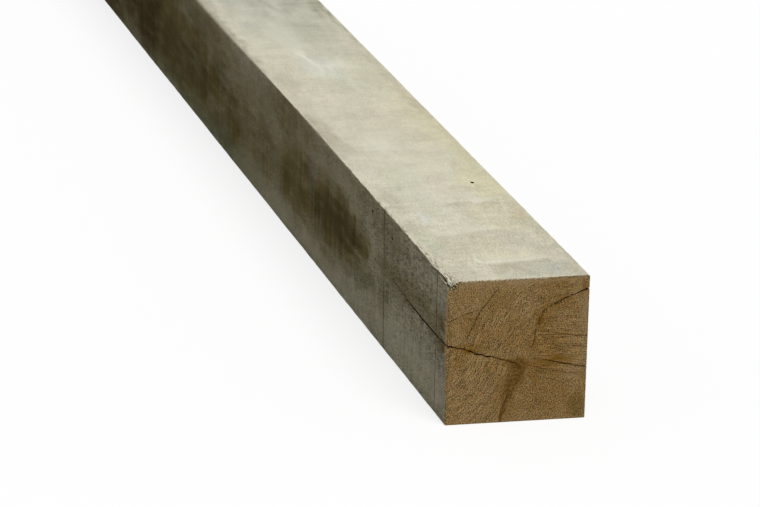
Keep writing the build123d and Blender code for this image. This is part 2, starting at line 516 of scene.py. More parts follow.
def capGrid():
    # the near end: columns across by rows up, bent to follow the two checks and pushed in by their depth.
    # Gives the points, and the same before they are rounded and roughened
    edge = leftSide + columnPlaces
    across = np.repeat(edge[:, None], rows + 1, axis=1)
    height = seamRows(endPath(mainCheck, edge), endPath(topCheck, edge),
                      endGap(mainCheck, edge), endGap(topCheck, edge))
    flat = across * 0, across.copy(), height.copy()
    fromRim = np.minimum.reduce((across - leftSide, rightSide - across, height, beamHeight - height))
    leaning = height + sawnFace["endMarkLean"] * across
    marks = latticeNoise(leaning, across, sawnFace["endMarkSpacing"] * mm, sawnFace["endMarkLength"] * mm,
                         seeds["endMarks"])
    patches = evenNoise(across, height, sawnFace["endPatch"], seeds["endPatches"])
    depth = (sawnFace["endMarks"] * (marks + patches)) * mm * blend(fromRim / (2 * mm))
    tornFrom = np.hypot(across - leftSide, beamHeight - height)
    rough = evenNoise(across, height, arrisWear["tornRoughCell"], seeds["tornEnd"])
    depth += arrisWear["tornRough"] * mm * blend(1 - tornFrom / (arrisWear["tornRoughReach"] * mm)) * rough

    # the fissure's mouth in the end, across the torn corner
    onRim = (np.arange(columns + 1)[:, None] == 0) | (np.arange(rows + 1)[None, :] == rows)
    fissure = fissureCut(np.zeros_like(across), (across - leftSide) - (beamHeight - height))
    depth += fissure * blend(1 - tornFrom / (6 * mm)) * ~onRim
    across, height = roundArrises(across, height, [radius[0] for radius in arrisRadii(np.zeros(1))])
    across, height = wanderIn(across, height, np.zeros_like(across))
    across, height = across + fissure * onRim, height - fissure * onRim
    place = nearEnd - depth
    for check, row in ((mainCheck, beamShape["mainSeam"]), (topCheck, beamShape["topSeam"])):
        place[:, row] -= along(check["endDepth"], edge)
        for side, fromEdge, inwards in (("left", edge - leftSide, 1), ("right", rightSide - edge, -1)):
            sideDepth = along(check[side + "Depth"], np.zeros(1))[0]
            reach = check["reach"] * mm if sideDepth > 5 * mm else 10 * mm
            across[:, row] += inwards * sideDepth * np.clip(1 - fromEdge / reach, 0, 1)
    return (place, across, height), flat


def ringOfCap(grid):
    # the rim of a grid of points, in the order of the skin's rings
    return np.concatenate((grid[:-1, 0], grid[-1, :-1], grid[:0:-1, -1], grid[0, :0:-1]))


def numbered(first, count, width):
    # the numbers of new points that stand in rows, from the first one on
    return first + np.arange(count * width).reshape(count, width)


def joined(parts):
    # grids of three coordinates as one list of points
    return np.concatenate([np.stack([axis.ravel() for axis in part], axis=1) for part in parts])


def quads(corners):
    # four grids of point numbers as a list of faces with four corners
    return np.stack(corners, axis=-1).reshape(-1, 4)


def ringFaces(ids):
    # the faces between each ring of points and the next
    nextIds = np.roll(ids, -1, axis=1)
    return quads((ids[:-1], ids[1:], nextIds[1:], nextIds[:-1]))


def changeFaces(fine, coarse):
    # the triangles between a ring of points and one with half as many
    odd, nextFine, nextCoarse = fine[1::2], np.roll(fine, -2)[0::2], np.roll(coarse, -1)
    corners = (fine[0::2], coarse, odd), (odd, coarse, nextCoarse), (odd, nextCoarse, nextFine)
    return np.concatenate([np.stack(three, axis=1) for three in corners])


def gridFaces(ids, flip):
    # the faces of a grid of points, turned over where flip is set
    corners = ids[:-1, :-1], ids[1:, :-1], ids[1:, 1:], ids[:-1, 1:]
    return quads(corners[::-1] if flip else corners)


def addObject(name, data):
    thing = bpy.data.objects.new(name, data)
    bpy.context.scene.collection.objects.link(thing)
    return thing


def buildBeam():
    # a fine skin, a coarser one behind it, and a cap on each end, joined point by point
    near, nearFlat, nearRing = tubeSections(nearBack, 1)
    openSideSeams(*near, nearBack, *nearRing)
    far, farFlat, farRing = tubeSections(farBack[1:], 2)
    cap, capFlat = capGrid()

    # the rim of the cap is the first ring of the skin, eased back a little
    for axis, grid in zip(near, cap):
        axis[0] = ringOfCap(grid)
    near[0][0] -= beamShape["endEase"] * mm

    endAcross, endHeight = np.meshgrid(leftSide + columnPlaces[2:-2:2], rowPlaces[2:-2:2], indexing="ij")
    cellAcross, cellUp = sawnFace["farEndCells"]
    rough = latticeNoise(endAcross, endHeight, cellAcross * mm, cellUp * mm, seeds["farEnd"])
    farRadii = [radius[-1] for radius in arrisRadii(farBack)]
    end = (farEnd + sawnFace["farEndDepth"] * mm * rough, *roundArrises(endAcross, endHeight, farRadii))

    nearIds = numbered(0, *near[0].shape)
    capIds = np.empty((columns + 1, rows + 1), int)
    capIds[1:-1, 1:-1] = numbered(nearIds.size, columns - 1, rows - 1)
    capIds[nearRing] = nearIds[0]
    farIds = numbered(capIds[-2, -2] + 1, *far[0].shape)
    endIds = np.empty((columns // 2 + 1, rows // 2 + 1), int)
    endIds[1:-1, 1:-1] = numbered(farIds[-1, -1] + 1, *endAcross.shape)
    endIds[farRing[0] // 2, farRing[1] // 2] = farIds[-1]

    inner = (slice(1, -1), slice(1, -1))
    points = joined((near, [grid[inner] for grid in cap], far, end))
    endFlat = endAcross * 0 + beamLength, endAcross, endHeight
    flat = joined((nearFlat, [grid[inner] for grid in capFlat], farFlat, endFlat))
    sides = np.concatenate((ringFaces(nearIds), ringFaces(farIds)))
    change = changeFaces(nearIds[-1], farIds[0])
    nearCap, farCap = gridFaces(capIds, False), gridFaces(endIds, True)
    faces = sides.tolist() + change.tolist() + nearCap.tolist() + farCap.tolist()

    mesh = bpy.data.meshes.new("oakBeam")
    mesh.from_pydata(points.tolist(), [], faces)
    slots = np.repeat((0, 1, 2), (len(sides) + len(change), len(nearCap), len(farCap)))
    mesh.polygons.foreach_set("material_index", slots)
    mesh.polygons.foreach_set("use_smooth", np.ones(len(faces), bool))
    mesh.set_sharp_from_angle(angle=radians(beamShape["sharpAngle"]))
    mesh.update()
    print("beam skin", len(points), "points", len(faces), "faces")
    return addObject("oakBeam", mesh), flat


beam, beamFlat = buildBeam()


# the beam's points are painted with masks, shares from 0 to 1, of where it is stained, worn or pale, and of
# painted light and shade

# soft strokes on the left side: distance back, height, half length, half height,
# degrees that it rises towards the near end, strength
leftMarks = {
    "brown": (
        (480, 78, 150, 46, 2, 1.0), (365, 80, 52, 19, 10, 0.95), (545, 34, 120, 24, 0, 0.5),
        (670, 66, 120, 48, 2, 0.95), (690, 126, 160, 32, 0, 0.65), (900, 68, 190, 62, 0, 0.68),
        (1000, 56, 60, 36, 0, 0.9), (1300, 66, 320, 56, 0, 1.0), (1530, 96, 240, 96, 0, 1.0),
        (1850, 90, 300, 120, 0, 1.0), (130, 97, 210, 19, 3, 0.52), (40, 84, 42, 13, 0, 0.62),
        (205, 98, 36, 13, 5, 0.64), (245, 132, 90, 24, 0, 0.32), (450, 134, 190, 22, 0, 0.28),
        (265, 56, 26, 26, 0, 0.34), (335, 50, 44, 12, 5, 0.3), (22, 104, 14, 10, 0, 0.7),
        (1150, 120, 200, 30, 0, 0.6), (20, 149.2, 9, 1.6, 0, 0.6),
    ),
    "dark": (
        (465, 79, 92, 26, 3, 0.62), (550, 68, 56, 22, 0, 0.66), (388, 80, 32, 12, 14, 0.75),
        (389, 82, 20, 2.2, 14, 0.8), (425, 66, 40, 10, 6, 0.45), (510, 92, 40, 9, 0, 0.45),
        (590, 90, 20, 12, 0, 0.45), (640, 66, 24, 14, 0, 0.4), (600, 98, 34, 14, 0, 0.5),
        (715, 66, 30, 18, 0, 0.4), (470, 46, 40, 9, 0, 0.3), (560, 44, 40, 8, 0, 0.3),
        (20, 148.4, 8, 2, 0, 0.5), (842, 80, 15, 70, 0, 0.14), (780, 70, 30, 16, 0, 0.2),
        (1000, 60, 50, 24, 0, 0.25), (1080, 88, 60, 24, 0, 0.4), (1220, 60, 110, 34, 0, 0.55),
        (1370, 54, 140, 40, 0, 0.55), (1300, 120, 200, 30, 0, 0.25), (1530, 70, 110, 70, 4, 1.0),
        (1650, 100, 200, 90, 0, 1.0), (1860, 70, 200, 110, 0, 0.9), (1060, 30, 90, 26, 0, 0.25),
        (20, 104, 9, 7, 0, 0.3), (13, 80, 7, 5, 0, 0.6), (24, 91, 6, 12, 0, 0.3),
        (313, 134, 3.5, 4, 0, 0.75), (308, 125, 6, 8, 0, 0.25), (228, 130, 2.4, 2.4, 0, 0.8),
        (100, 80, 70, 3, 0, 0.2), (215, 89, 22, 3, 14, 0.3), (10, 92, 6, 7, 0, 0.25),
        (28, 70, 12, 6, 0, 0.25), (60, 72, 14, 6, 0, 0.2), (20, 20, 18, 16, 0, 0.28),
        (150, 111, 16, 8, 0, 0.15), (575, 112, 26, 10, 0, 0.2),
    ),
    "green": (
        (355, 52, 65, 14, 5, 0.5), (258, 112, 10, 44, 0, 0.5), (950, 56, 130, 30, 0, 0.4),
        (250, 66, 30, 12, 5, 0.4), (330, 140, 80, 10, 0, 0.35), (215, 120, 12, 14, 0, 0.3),
        (560, 2, 600, 4, 0, 0.4), (1150, 16, 400, 18, 0, 0.9), (48, 80, 12, 6, 0, 0.4),
        (1500, 60, 300, 60, 0, 0.35),
    ),
    "blue": (
        (23, 124, 12, 14, 0, 0.5), (22, 44, 13, 46, 0, 0.5), (110, 42, 60, 18, 5, 0.2),
        (215, 28, 40, 14, 5, 0.2),
    ),
    "pale": (
        # the broad pale bands low down, 10 to 30 mm up, are painted light: the brightness that light off
        # the floor gives the bottom of the side
        (166, 69, 10, 2.4, 25, 0.45), (181, 56, 11, 2.6, 25, 0.45), (207, 46, 7, 3, 20, 0.4),
        (224, 37, 5, 3, 10, 0.35), (345, 18, 30, 18, 0, 0.3), (140, 24, 200, 30, 0, 0.38),
        (210, 14, 80, 16, 0, 0.4), (370, 10, 100, 14, 0, 0.34), (110, 30, 20, 14, 0, 0.3),
        (310, 92, 16, 12, 0, 0.2), (285, 80, 12, 8, 0, 0.15), (165, 58, 16, 12, 0, 0.2),
        (900, 100, 40, 18, 4, 0.1), (300, 98, 16, 12, 12, 0.12), (12, 88, 1.2, 7, 0, 0.5),
        (60, 136, 60, 10, 0, 0.1), (480, 12, 200, 16, 0, 0.3), (430, 132, 60, 12, 3, 0.12),
        (600, 124, 80, 8, 3, 0.12), (780, 12, 200, 16, 0, 0.26), (60, 112, 14, 7, 0, 0.24),
        (400, 112, 30, 8, 0, 0.2), (200, 138, 20, 9, 0, 0.16), (900, 22, 60, 16, 0, 0.15),
    ),
}

# on the top: distance back, place across, half length, half width, degrees that it turns right towards
# the near end, strength
topMarks = {
    "dark": (
        (1080, -71, 280, 6, 0, 0.3), (1600, -71, 300, 6, 0, 0.3), (62, -71.4, 7, 0.5, 0, 0.5),
        (44, -69.6, 6, 0.5, 0, 0.5), (24, -66.6, 11, 0.5, 0, 0.5), (28, 3, 25, 22, 0, 0.2),
        (24, 54, 40, 24, 0, 0.22), (120, 12, 52, 55, 0, 0.06), (365, 12, 18, 16, 0, 0.08),
        (266, 26, 9, 32, 0, 0.1), (302, -60, 50, 10, 0, 0.12), (580, -66, 90, 9, 0, 0.3),
        (893, 55, 18, 24, 0, 0.1), (1080, 20, 150, 66, 0, 0.2), (1500, 0, 400, 90, 0, 0.34),
        (18, 58, 26, 20, 0, 0.12), (80, 50, 60, 20, 0, 0.13), (60, 62, 16, 10, 0, 0.16),
        (150, -50, 24, 16, 0, 0.1), (204, 10, 22, 16, 0, 0.12), (780, -58, 90, 14, 0, 0.16),
        (1210, 20, 110, 60, 0, 0.32), (1200, 62, 120, 14, 0, 0.42), (1420, 42, 170, 36, 0, 0.5),
        (50, 20, 40, 12, 0, 0.07), (120, 34, 60, 14, 0, 0.08), (60, -66, 90, 8, 0, 0.08),
        (180, -66, 60, 8, 0, 0.12), (215, 54, 40, 12, 0, 0.08), (500, 68, 110, 8, 0, 0.1),
        (495, -60, 40, 12, 0, 0.24), (720, -62, 70, 14, 0, 0.12), (800, 48, 60, 16, 0, 0.08),
        (930, 62, 60, 10, 0, 0.12), (780, -52, 40, 12, 0, 0.08), (60, 70, 90, 7, 0, 0.2),
        (170, 69, 130, 8, 0, 0.16), (272, 10, 8, 4, 0, 0.12), (275, 18, 12, 1.2, -8, 0.2),
        (285, 54, 8, 2.5, 0, 0.2), (388, -44, 5, 4, 0, 0.15), (120, -54, 70, 12, 0, 0.1),
        (30, -52, 30, 14, 0, 0.1), (440, 69, 130, 7, 0, 0.1), (800, 68, 260, 9, 0, 0.18),
        (470, -66, 40, 6, 0, 0.12), (720, -68, 160, 6, 0, 0.12), (1400, 71, 600, 4, 0, 0.4),
    ),
    "green": (
        (350, -28, 80, 22, -6, 0.3), (130, -57, 46, 9, 0, 0.5), (28, 22, 24, 5, 0, 0.4),
        (1070, 20, 130, 60, 0, 0.3), (990, -40, 60, 20, -5, 0.2), (90, 40, 30, 8, 0, 0.2),
        (540, -20, 60, 10, -5, 0.2), (260, -20, 30, 10, 0, 0.2), (1400, 0, 300, 90, 0, 0.25),
        (820, 30, 120, 40, 0, 0.22),
    ),
    "yellow": (
        (350, 54, 75, 22, 0, 0.7), (73, 12, 15, 40, 0, 0.5), (600, 46, 180, 26, 0, 0.15),
        (220, 40, 60, 30, 0, 0.35), (430, 20, 60, 40, 0, 0.2), (120, 0, 40, 20, 0, 0.25),
        (480, 64, 330, 14, 0, 0.55), (620, 56, 160, 18, 0, 0.4),
    ),
    "blue": (
        (30, 46, 32, 13, 0, 0.35), (225, -40, 26, 9, -14, 0.6), (25, 18, 20, 8, 0, 0.2),
        (400, -58, 30, 10, 0, 0.2), (1000, 40, 120, 18, -6, 0.15), (250, -10, 30, 8, 0, 0.15),
        (860, 0, 60, 30, 0, 0.4), (1350, 0, 400, 90, 0, 0.4),
    ),
    "brown": (
        (224, 62, 30, 7, 0, 0.3), (364, 13, 18, 15, 0, 0.14), (700, 20, 200, 50, 0, 0.03),
        (110, -34, 40, 10, -6, 0.14), (1150, -50, 60, 14, 0, 0.15), (320, 20, 20, 14, 0, 0.1),
        (35, -12, 22, 12, 0, 0.12),
    ),
    "pale": (
        (77, -24.5, 13, 2, -5, 0.7), (20, -4, 13, 9, 0, 0.25), (284, 34, 7, 12, 0, 0.35),
        (222, -42, 22, 5, -20, 0.55), (190, -23, 14, 1.2, -18, 0.4), (312, 20, 18, 14, 0, 0.2),
        (858, 20, 17, 22, 0, 0.7), (900, -9, 55, 3.5, 8, 0.85), (840, -5, 50, 4, -4, 0.85),
        (1150, 12, 90, 6, -10, 0.25), (780, 18, 40, 6, -8, 0.2), (240, -45, 9, 3, 10, 0.4),
        (366, -54, 4, 3, 0, 0.4), (520, -16, 50, 22, 0, 0.3), (410, 4, 90, 34, 0, 0.16),
        (310, -16, 50, 26, 0, 0.22), (850, -4, 50, 26, 0, 0.3), (920, -16, 40, 14, 0, 0.25),
        (1010, -12, 80, 20, 0, 0.3), (200, 0, 30, 14, -8, 0.15), (460, -52, 10, 30, 0, 0.2),
        (348, 40.6, 14, 1.6, 0, 0.4),
    ),
}

# where the saw was set down again on the top: distance back at the middle, slant, from and to across,
# strength; the face is paler beyond each edge and darker on the near side of it
sawEdges = (
    (57.5, 0.12, -24, 54, 1.2), (169, 0.24, -50, 32, 0.6), (277, 0.0, -10, 56, 0.5),
    (344, 0.0, 0, 30, 0.25), (386, 0.25, -10, 46, 0.3), (431, 0.05, -50, 12, 0.25),
    (487, 0.0, -40, 24, 0.25), (552, 0.1, -30, 60, 0.15), (640, -0.1, -60, 30, 0.15),
    (722, 0.1, -40, 60, 0.15), (812, 0.0, -60, 50, 0.2), (940, 0.1, -40, 60, 0.2),
    (1060, 0.0, -60, 60, 0.2), (1210, 0.1, -60, 60, 0.2), (1380, 0.0, -60, 60, 0.2),
    (1560, 0.1, -60, 60, 0.2), (1730, 0.0, -60, 60, 0.2), (1880, 0.1, -60, 60, 0.2),
)

# how far the weathered side reaches over the top left arris (+) or the pale top reaches down (-)
arrisShift = (
    (0, -5.6), (8, -5.2), (12, -4.4), (16, -2.4), (20, -1.3), (26, -0.5), (33, -1.0), (42, -1.8),
    (57, -3.2), (68, -2.6), (80, -1.3), (100, -0.4), (121, -0.6), (148, -0.7), (196, 0.6), (222, 0.9),
    (249, 0), (276, -0.8), (298, -0.6), (376, 0.6), (456, 1.0), (539, 1.1), (600, 1.2), (680, 0.4),
    (760, -0.6), (830, -1.6), (960, -3.4), (1050, -4.6), (1150, -5.0), (1250, -6.0), (2000, -6.2),
)
arrisRagged = (
    (0, 0.5), (100, 0.7), (180, 1.0), (215, 1.9), (330, 1.8), (560, 1.6), (700, 0.8), (800, 0.3),
    (2000, 0.3),
)
arrisSoft = ((0, 0.7), (700, 0.8), (900, 2.2), (1200, 4.5), (2000, 4.5))

arrisChance = {
    "line": ((7, 1), (2.6, 0.6)),  # cells of the noise that makes the line ragged, and their strength
    "chipShow": 0.7,  # how wide a chip shows, against its depth
    "fray": ((0, 8), (40, 7), (90, 5), (130, 3), (330, 2.2), (420, 0.6), (2000, 0.4)),  # its width
    "fraySide": 0.35,
    # the first strength is that of the pale highlight painted along the top left arris
    "arrisHighlight": 0.45,  # strengths, from here on
    "slivers": 0.35,
    "mottledDark": 0.9,
    "mottledPale": 0.7,
}

# the edges of the stains are ragged along the grain and drawn out across it by the saw
stainEdges = {
    "ragged": 22,
    "sawn": 9,
    "patchy": 0.55,  # how much a stain comes and goes
    "hiddenBrown": 0.6,  # strength of the chance stains on the right side and the underside
    "hiddenDark": 0.12,
    "sawPale": 0.6,  # strength of the saw edges
    "sawDark": 0.2,
}

# a pale splinter that stands off under the torn arris: distance back of its two tips, height at the near
# tip, rise per millimetre, half width
splinter = {"near": 13, "far": 37, "height": 146.1, "rise": 0.06, "half": 0.8}

# width of the strip along the end of the left side where the saw broke out fresh wood, up its height
breakOut = (
    (0, 2), (14, 2.2), (28, 3), (42, 5), (56, 5.4), (68, 8.5), (80, 11), (88, 10.5), (100, 8.5),
    (114, 7.7), (132, 7), (140, 6), (143.5, 1), (145, 0), (152, 0),
)

# black pits round the torn corner: face, distance back, place across or up, radius
cornerPits = (
    ("top", 4, -69.8, 1.1), ("top", 7, -67.6, 0.9), ("left", 13, 146.6, 1.3), ("left", 6, 147.6, 1.5),
    ("left", 1.5, 148.6, 1.6), ("left", 20, 149.4, 0.9), ("left", 0.5, 144.5, 1.0),
    ("top", 1, -73, 1.2),
)

# on the near end: place across, height, half width, half height, tilt, strength
endMarks = {
    "deep": (
        (42, 127, 26, 8, 20, 0.5), (-26, 96, 16, 10, 0, 0.5), (-5, 80, 12, 7, 0, 0.5),
        (-62, 66, 8, 8, 0, 0.7), (28, 112, 12, 12, 0, 0.9), (30, 82, 26, 24, 0, 0.75),
        (22, 54, 26, 16, 0, 0.9), (30, 28, 30, 22, 0, 0.6), (-10, 28, 16, 28, 0, 0.6),
        (-22, 62, 16, 8, -20, 0.5), (-50, 80, 15, 6, -10, 0.9), (-48, 106, 14, 11, 45, 0.6),
        (0, 96, 34, 14, 0, 0.45), (-24, 127, 16, 15, 0, 0.45), (62, 16, 12, 16, 0, 0.7),
        (36, 145, 22, 7, 10, 0.6), (-71, 99, 3, 6, 0, 0.8), (70, 138, 5, 8, 0, 0.9),
        (-60, 80, 8, 4, 0, 0.8), (-36, 84, 10, 8, 0, 0.4),
    ),
    "gold": (
        (42, 64, 24, 3.2, -8, 1.0), (-50, 76.5, 8, 2.4, -14, 0.9), (50, 60.5, 12, 2.4, -12, 0.7),
        (-71.5, 103, 2, 6, 0, 0.6), (-70.5, 95, 1.6, 4, 0, 0.4), (37, 121, 10, 3.4, 22, 0.5),
        (24, 104, 5, 12, 0, 0.4), (-2, 62, 14, 7, 0, 0.5), (46, 130, 12, 3, 22, 0.4),
    ),
    "olive": (
        (66, 13, 9, 13, 0, 0.6), (68.5, 112, 2.2, 20, 0, 0.55), (-70, 150, 5, 3, 0, 0.9),
        (-73, 60, 1.6, 60, 0, 0.6), (70, 42, 4, 14, 0, 0.4), (-24, 44, 10, 5, 20, 0.25),
    ),
    "pale": (
        (-16, 149.5, 62, 3.4, 0, 1.0), (58, 149.5, 16, 2.6, 0, 0.8), (-20, 146, 50, 5, 0, 0.3),
        (70, 110, 2.6, 26, 0, 0.8), (68, 104, 5, 12, 0, 0.5), (60, 49, 10, 9, 0, 0.3),
        (31, 48, 7, 5, 0, 0.3), (58, 62, 12, 10, 0, 0.25), (69, 78, 2, 18, 0, 0.5),
        (62, 138, 8, 8, 0, 0.15), (11, 47, 1.6, 10, -14, 0.7), (1, 28, 1.4, 6, -36, 0.5),
        (-45, 21, 16, 1.4, -42, 0.6), (-26, 37, 9, 1.4, -52, 0.6), (-57, 14, 9, 1.2, -24, 0.5),
        (-62, 92, 6, 8, 0, 0.2), (-45, 126, 8, 6, 0, 0.25),
    ),
    "speckled": (
        (16, 118, 44, 28, 0, 0.9), (30, 128, 44, 18, 0, 0.9), (-14, 98, 30, 26, -30, 1.0),
        (10, 88, 34, 26, 0, 0.9), (-52, 26, 28, 20, 0, 1.0), (28, 26, 26, 18, 20, 0.8),
        (0, 50, 14, 24, 0, 0.9), (24, 108, 12, 14, 0, 1.0), (66, 16, 9, 20, 0, 0.8),
        (40, 84, 20, 24, 0, 0.6), (-30, 58, 40, 12, -18, 0.6),
    ),
}

# the dark heart streak: place across, height, half width
heartStreak = (
    (-10, 64, 2.5), (-4, 63, 4), (2, 60, 9), (0, 52, 9), (-2, 45, 8.5), (-6, 36, 7.5), (-9, 28, 6),
    (-11.5, 21, 4), (-14, 12, 3), (-16.5, 1, 2.4),
)

# thin lines on the near end: half width, strength, and the points of each line
endLines = (
    (0.5, 0.9, ((-21.5, 143), (-26, 138), (-30, 132), (-34, 127), (-38, 123), (-41, 117), (-44, 112),
                (-47, 105), (-50, 99.5), (-53, 92))),
    (0.45, 0.6, ((12, 59.6), (21, 57.5), (31, 54), (38, 52.3), (45, 51), (52, 49.6), (63, 48.6))),
    (0.4, 0.45, ((24, 91), (40, 91.2), (48, 91))),
    (0.6, 0.7, ((46, 91), (53, 90.4), (60, 89.3), (74, 88))),
    (0.5, 0.6, ((52, 78), (62, 77.8), (74, 76.5))),
    (0.4, 0.4, ((13.5, 108), (8, 105), (3.5, 102), (-6.5, 93), (-14, 86), (-21, 79.5))),
    (0.45, 0.5, ((30, 44.6), (36, 43.6), (42, 42), (50, 38.4))),
    (0.8, 0.5, ((-9.6, 27), (-11.3, 22), (-15.5, 13), (-16.5, 1))),
    (0.6, 0.5, ((16, 66.6), (24, 65.6), (34, 63.6), (45, 61), (54, 59.2), (63, 57), (74, 54.8))),
    (0.45, 0.4, ((-31.3, 46), (-27, 50.6), (-23.8, 54.6))),
    (0.4, 0.35, ((17.5, 126.4), (30, 129.5), (46.5, 133))),
)
endLinesToo = (
    (0.5, 0.4, ((-40, 121), (-46, 111), (-52, 100), (-57, 91), (-60, 84.5))),
    (0.4, 0.5, ((-74, 109.5), (-69, 111), (-60, 114.5), (-50, 118), (-40, 121.5))),
    (1.3, 0.6, ((44, 125.5), (37, 123.6), (31, 119.5), (26, 115.5), (24, 110), (21, 103))),
    (0.8, 0.8, ((18.8, 97), (18.4, 90), (17, 84), (15.5, 79.5))),
    (0.4, 0.5, ((12, 108.3), (27, 108.4), (42, 109), (65, 109.6))),
    (0.45, 0.5, ((-23.8, 52.6), (-18, 50.2), (-13.8, 47.6), (-5.6, 42))),
    (0.4, 0.45, ((-6, 93), (4, 91.6), (16, 91), (24, 91))),
    (0.45, 0.5, ((21, 73.4), (28, 72.6), (35, 72))),
    (0.6, 0.4, ((-40, 17), (-31, 26), (-24, 32))),
    (0.5, 0.5, ((-19.5, 122), (-12, 122))),
)

# small dark knots of torn pores on the near end: place across, height, radius
endPits = (
    (19.4, 102.8, 0.9), (22.6, 102.4, 0.9), (39, 124.2, 1.4), (43, 125, 1.2), (51, 133.6, 1.3),
    (-45, 118, 0.9), (-53, 117.5, 1.0), (-59, 121.5, 0.8), (14, 122, 1.0), (-6.6, 93.2, 1.0),
    (-19.5, 83.5, 0.9), (26, 107, 0.8), (-50, 78.5, 1.2), (-44, 75.5, 1.3), (-38, 101, 0.8),
    (0, 61, 1.6), (3, 58, 1.2), (26.5, 20, 1.0), (22, 22, 0.9),
)


def strokes(u, v, marks):
    # soft tilted ellipses, the strongest one counts: full inside 0.45 of their half sizes and nothing
    # past 1.35
    total = np.zeros_like(u)
    for centreU, centreV, halfU, halfV, tilt, strength in marks:
        du, dv, lean = u - centreU * mm, v - centreV * mm, radians(tilt)
        longways = (du * cos(lean) - dv * sin(lean)) / (halfU * mm)
        sideways = (du * sin(lean) + dv * cos(lean)) / (halfV * mm)
        total = np.maximum(total, strength * blend((1.35 - np.hypot(longways, sideways)) / 0.9))
    return total


def lineField(u, v, lines):
    # distance to the nearest line in half widths, with a sign for its two sides, and how strongly that
    # line is drawn
    nearest, signed, drawn = np.ones_like(u), np.full_like(u, 9), np.zeros_like(u)
    for half, strength, points in lines:
        for number, ((fromU, fromV), (toU, toV)) in enumerate(zip(points[:-1], points[1:])):
            stepU, stepV = (toU - fromU) * mm, (toV - fromV) * mm
            length = np.hypot(stepU, stepV)
            du, dv = u - fromU * mm, v - fromV * mm
            share = (du * stepU + dv * stepV) / length**2
            off = (stepU * dv - stepV * du) / length
            overshoot = np.maximum(np.maximum(-share, share - 1), 0) * length
            distance = np.hypot(off, overshoot)
            beyond = (share < 0) & (number == 0) | (share > 1) & (number == len(points) - 2)
            fade = np.where(beyond, np.clip(1 - overshoot / (2 * mm), 0, 1), 1) * blend(3.5 - distance / mm)
            closer = distance < nearest
            nearest = np.where(closer, distance, nearest)
            signed = np.where(closer, np.copysign(distance, off) / (half * mm), signed)
            drawn = np.where(closer, strength * fade, drawn)
    return signed, drawn


def ribbon(u, v, points):
    # 1 along the middle of a band of changing width along a kinked line, falling to 0 at its edges
    total = np.zeros_like(u)
    for (fromU, fromV, fromHalf), (toU, toV, toHalf) in zip(points[:-1], points[1:]):
        stepU, stepV = (toU - fromU) * mm, (toV - fromV) * mm
        du, dv = u - fromU * mm, v - fromV * mm
        share = np.clip((du * stepU + dv * stepV) / (stepU**2 + stepV**2), 0, 1)
        distance = np.hypot(du - share * stepU, dv - share * stepV)
        half = (fromHalf + share * (toHalf - fromHalf)) * mm
        total = np.maximum(total, blend((1.5 - distance / half) / 1.2))
    return total


def paint(name, values, low=0, high=1):
    # one mask as an attribute of the beam's points
    layer = beam.data.attributes.new(name, "FLOAT", "POINT")
    layer.data.foreach_set("value", np.clip(values, low, high).astype(np.float32))


def chipShare(back, fromArris):
    # 1 inside a chip of the top left arris, a triangle seen from above
    share = np.zeros_like(back)
    for place, half, depth in arrisWear["chips"]:
        width = depth * arrisChance["chipShow"] * mm * blend(1 - np.abs(back - place * mm) / (half * mm))
        share = np.maximum(share, blend((width - fromArris) / (0.9 * mm) + 0.5) * blend(width / (0.5 * mm)))
    return share


def topShare(back, roundTheCorner, left, top):
    # how far each point shows the pale top: a soft ragged line that wanders round the top left arris
    fromArris = np.abs(roundTheCorner)
    wide, fine = (share * lineNoise(back, cell, seeds[name])
                  for name, (cell, share) in zip(("arrisLine", "arrisLineFine"), arrisChance["line"]))
    uneven = wide + fine - 0.8
    shift = along(arrisShift, back) + along(arrisRagged, back) * uneven
    share = blend((roundTheCorner - shift) / along(arrisSoft, back) + 0.5) - chipShare(back, fromArris)
    return np.where(left & (fromArris > 20 * mm), 0, np.where(left | top, share, 0))


def stainMasks(back, place, left, top):
    # the painted strokes of each face, and chance stains on the faces that have none
    ragged = latticeNoise(back, place, 34 * mm, 7 * mm, seeds["stain"])
    ragged = ragged + 0.5 * latticeNoise(back, place, 12 * mm, 3 * mm, seeds["stainFine"]) - 0.75
    sawnOff = latticeNoise(back, place, 15 * mm, 80 * mm, seeds["sawnOff"])
    sawnOff = sawnOff + latticeNoise(back, place, 28 * mm, 9 * mm, seeds["sawnOffWide"]) - 1
    stainBack = back + stainEdges["ragged"] * mm * ragged
    stainPlace = place + stainEdges["sawn"] * mm * sawnOff
    patchy = 1 + stainEdges["patchy"] * ragged
    masks = {}
    for name in ("dark", "brown", "green", "blue", "pale"):
        onLeft = strokes(stainBack, stainPlace, leftMarks[name])
        onTop = strokes(stainBack, stainPlace, topMarks[name])
        masks[name] = np.where(left, onLeft, np.where(top, onTop, 0)) * patchy
    chance = latticeNoise(back + 0.2 * place, place, 260 * mm, 60 * mm, seeds["hidden"])
    hidden = blend((chance + 0.25 * ragged - 0.45) / 0.6)
    for name, strength in (("brown", stainEdges["hiddenBrown"]), ("dark", stainEdges["hiddenDark"])):
        masks[name] = np.where(~left & ~top, hidden * strength * patchy, masks[name])
    masks["yellow"] = np.where(top, strokes(stainBack, stainPlace, topMarks["yellow"]), 0)
    return masks


def addSawEdges(masks, back, across, top):
    # a jump of tone that dies away on both sides: strength * e^-(distance / reach)
    for middle, slant, low, high, strength in sawEdges:
        off = back - (middle + slant * across / mm) * mm
        within = blend((across / mm - low) / 10) * blend((high - across / mm) / 10) * top * strength
        beyond = blend(off / (3 * mm)) * np.exp(-np.abs(off) / (15 * mm))
        nearer = blend(-off / (5 * mm)) * np.exp(-np.abs(off) / (20 * mm))
        masks["pale"] += within * beyond * stainEdges["sawPale"]
        masks["dark"] += within * nearer * stainEdges["sawDark"]


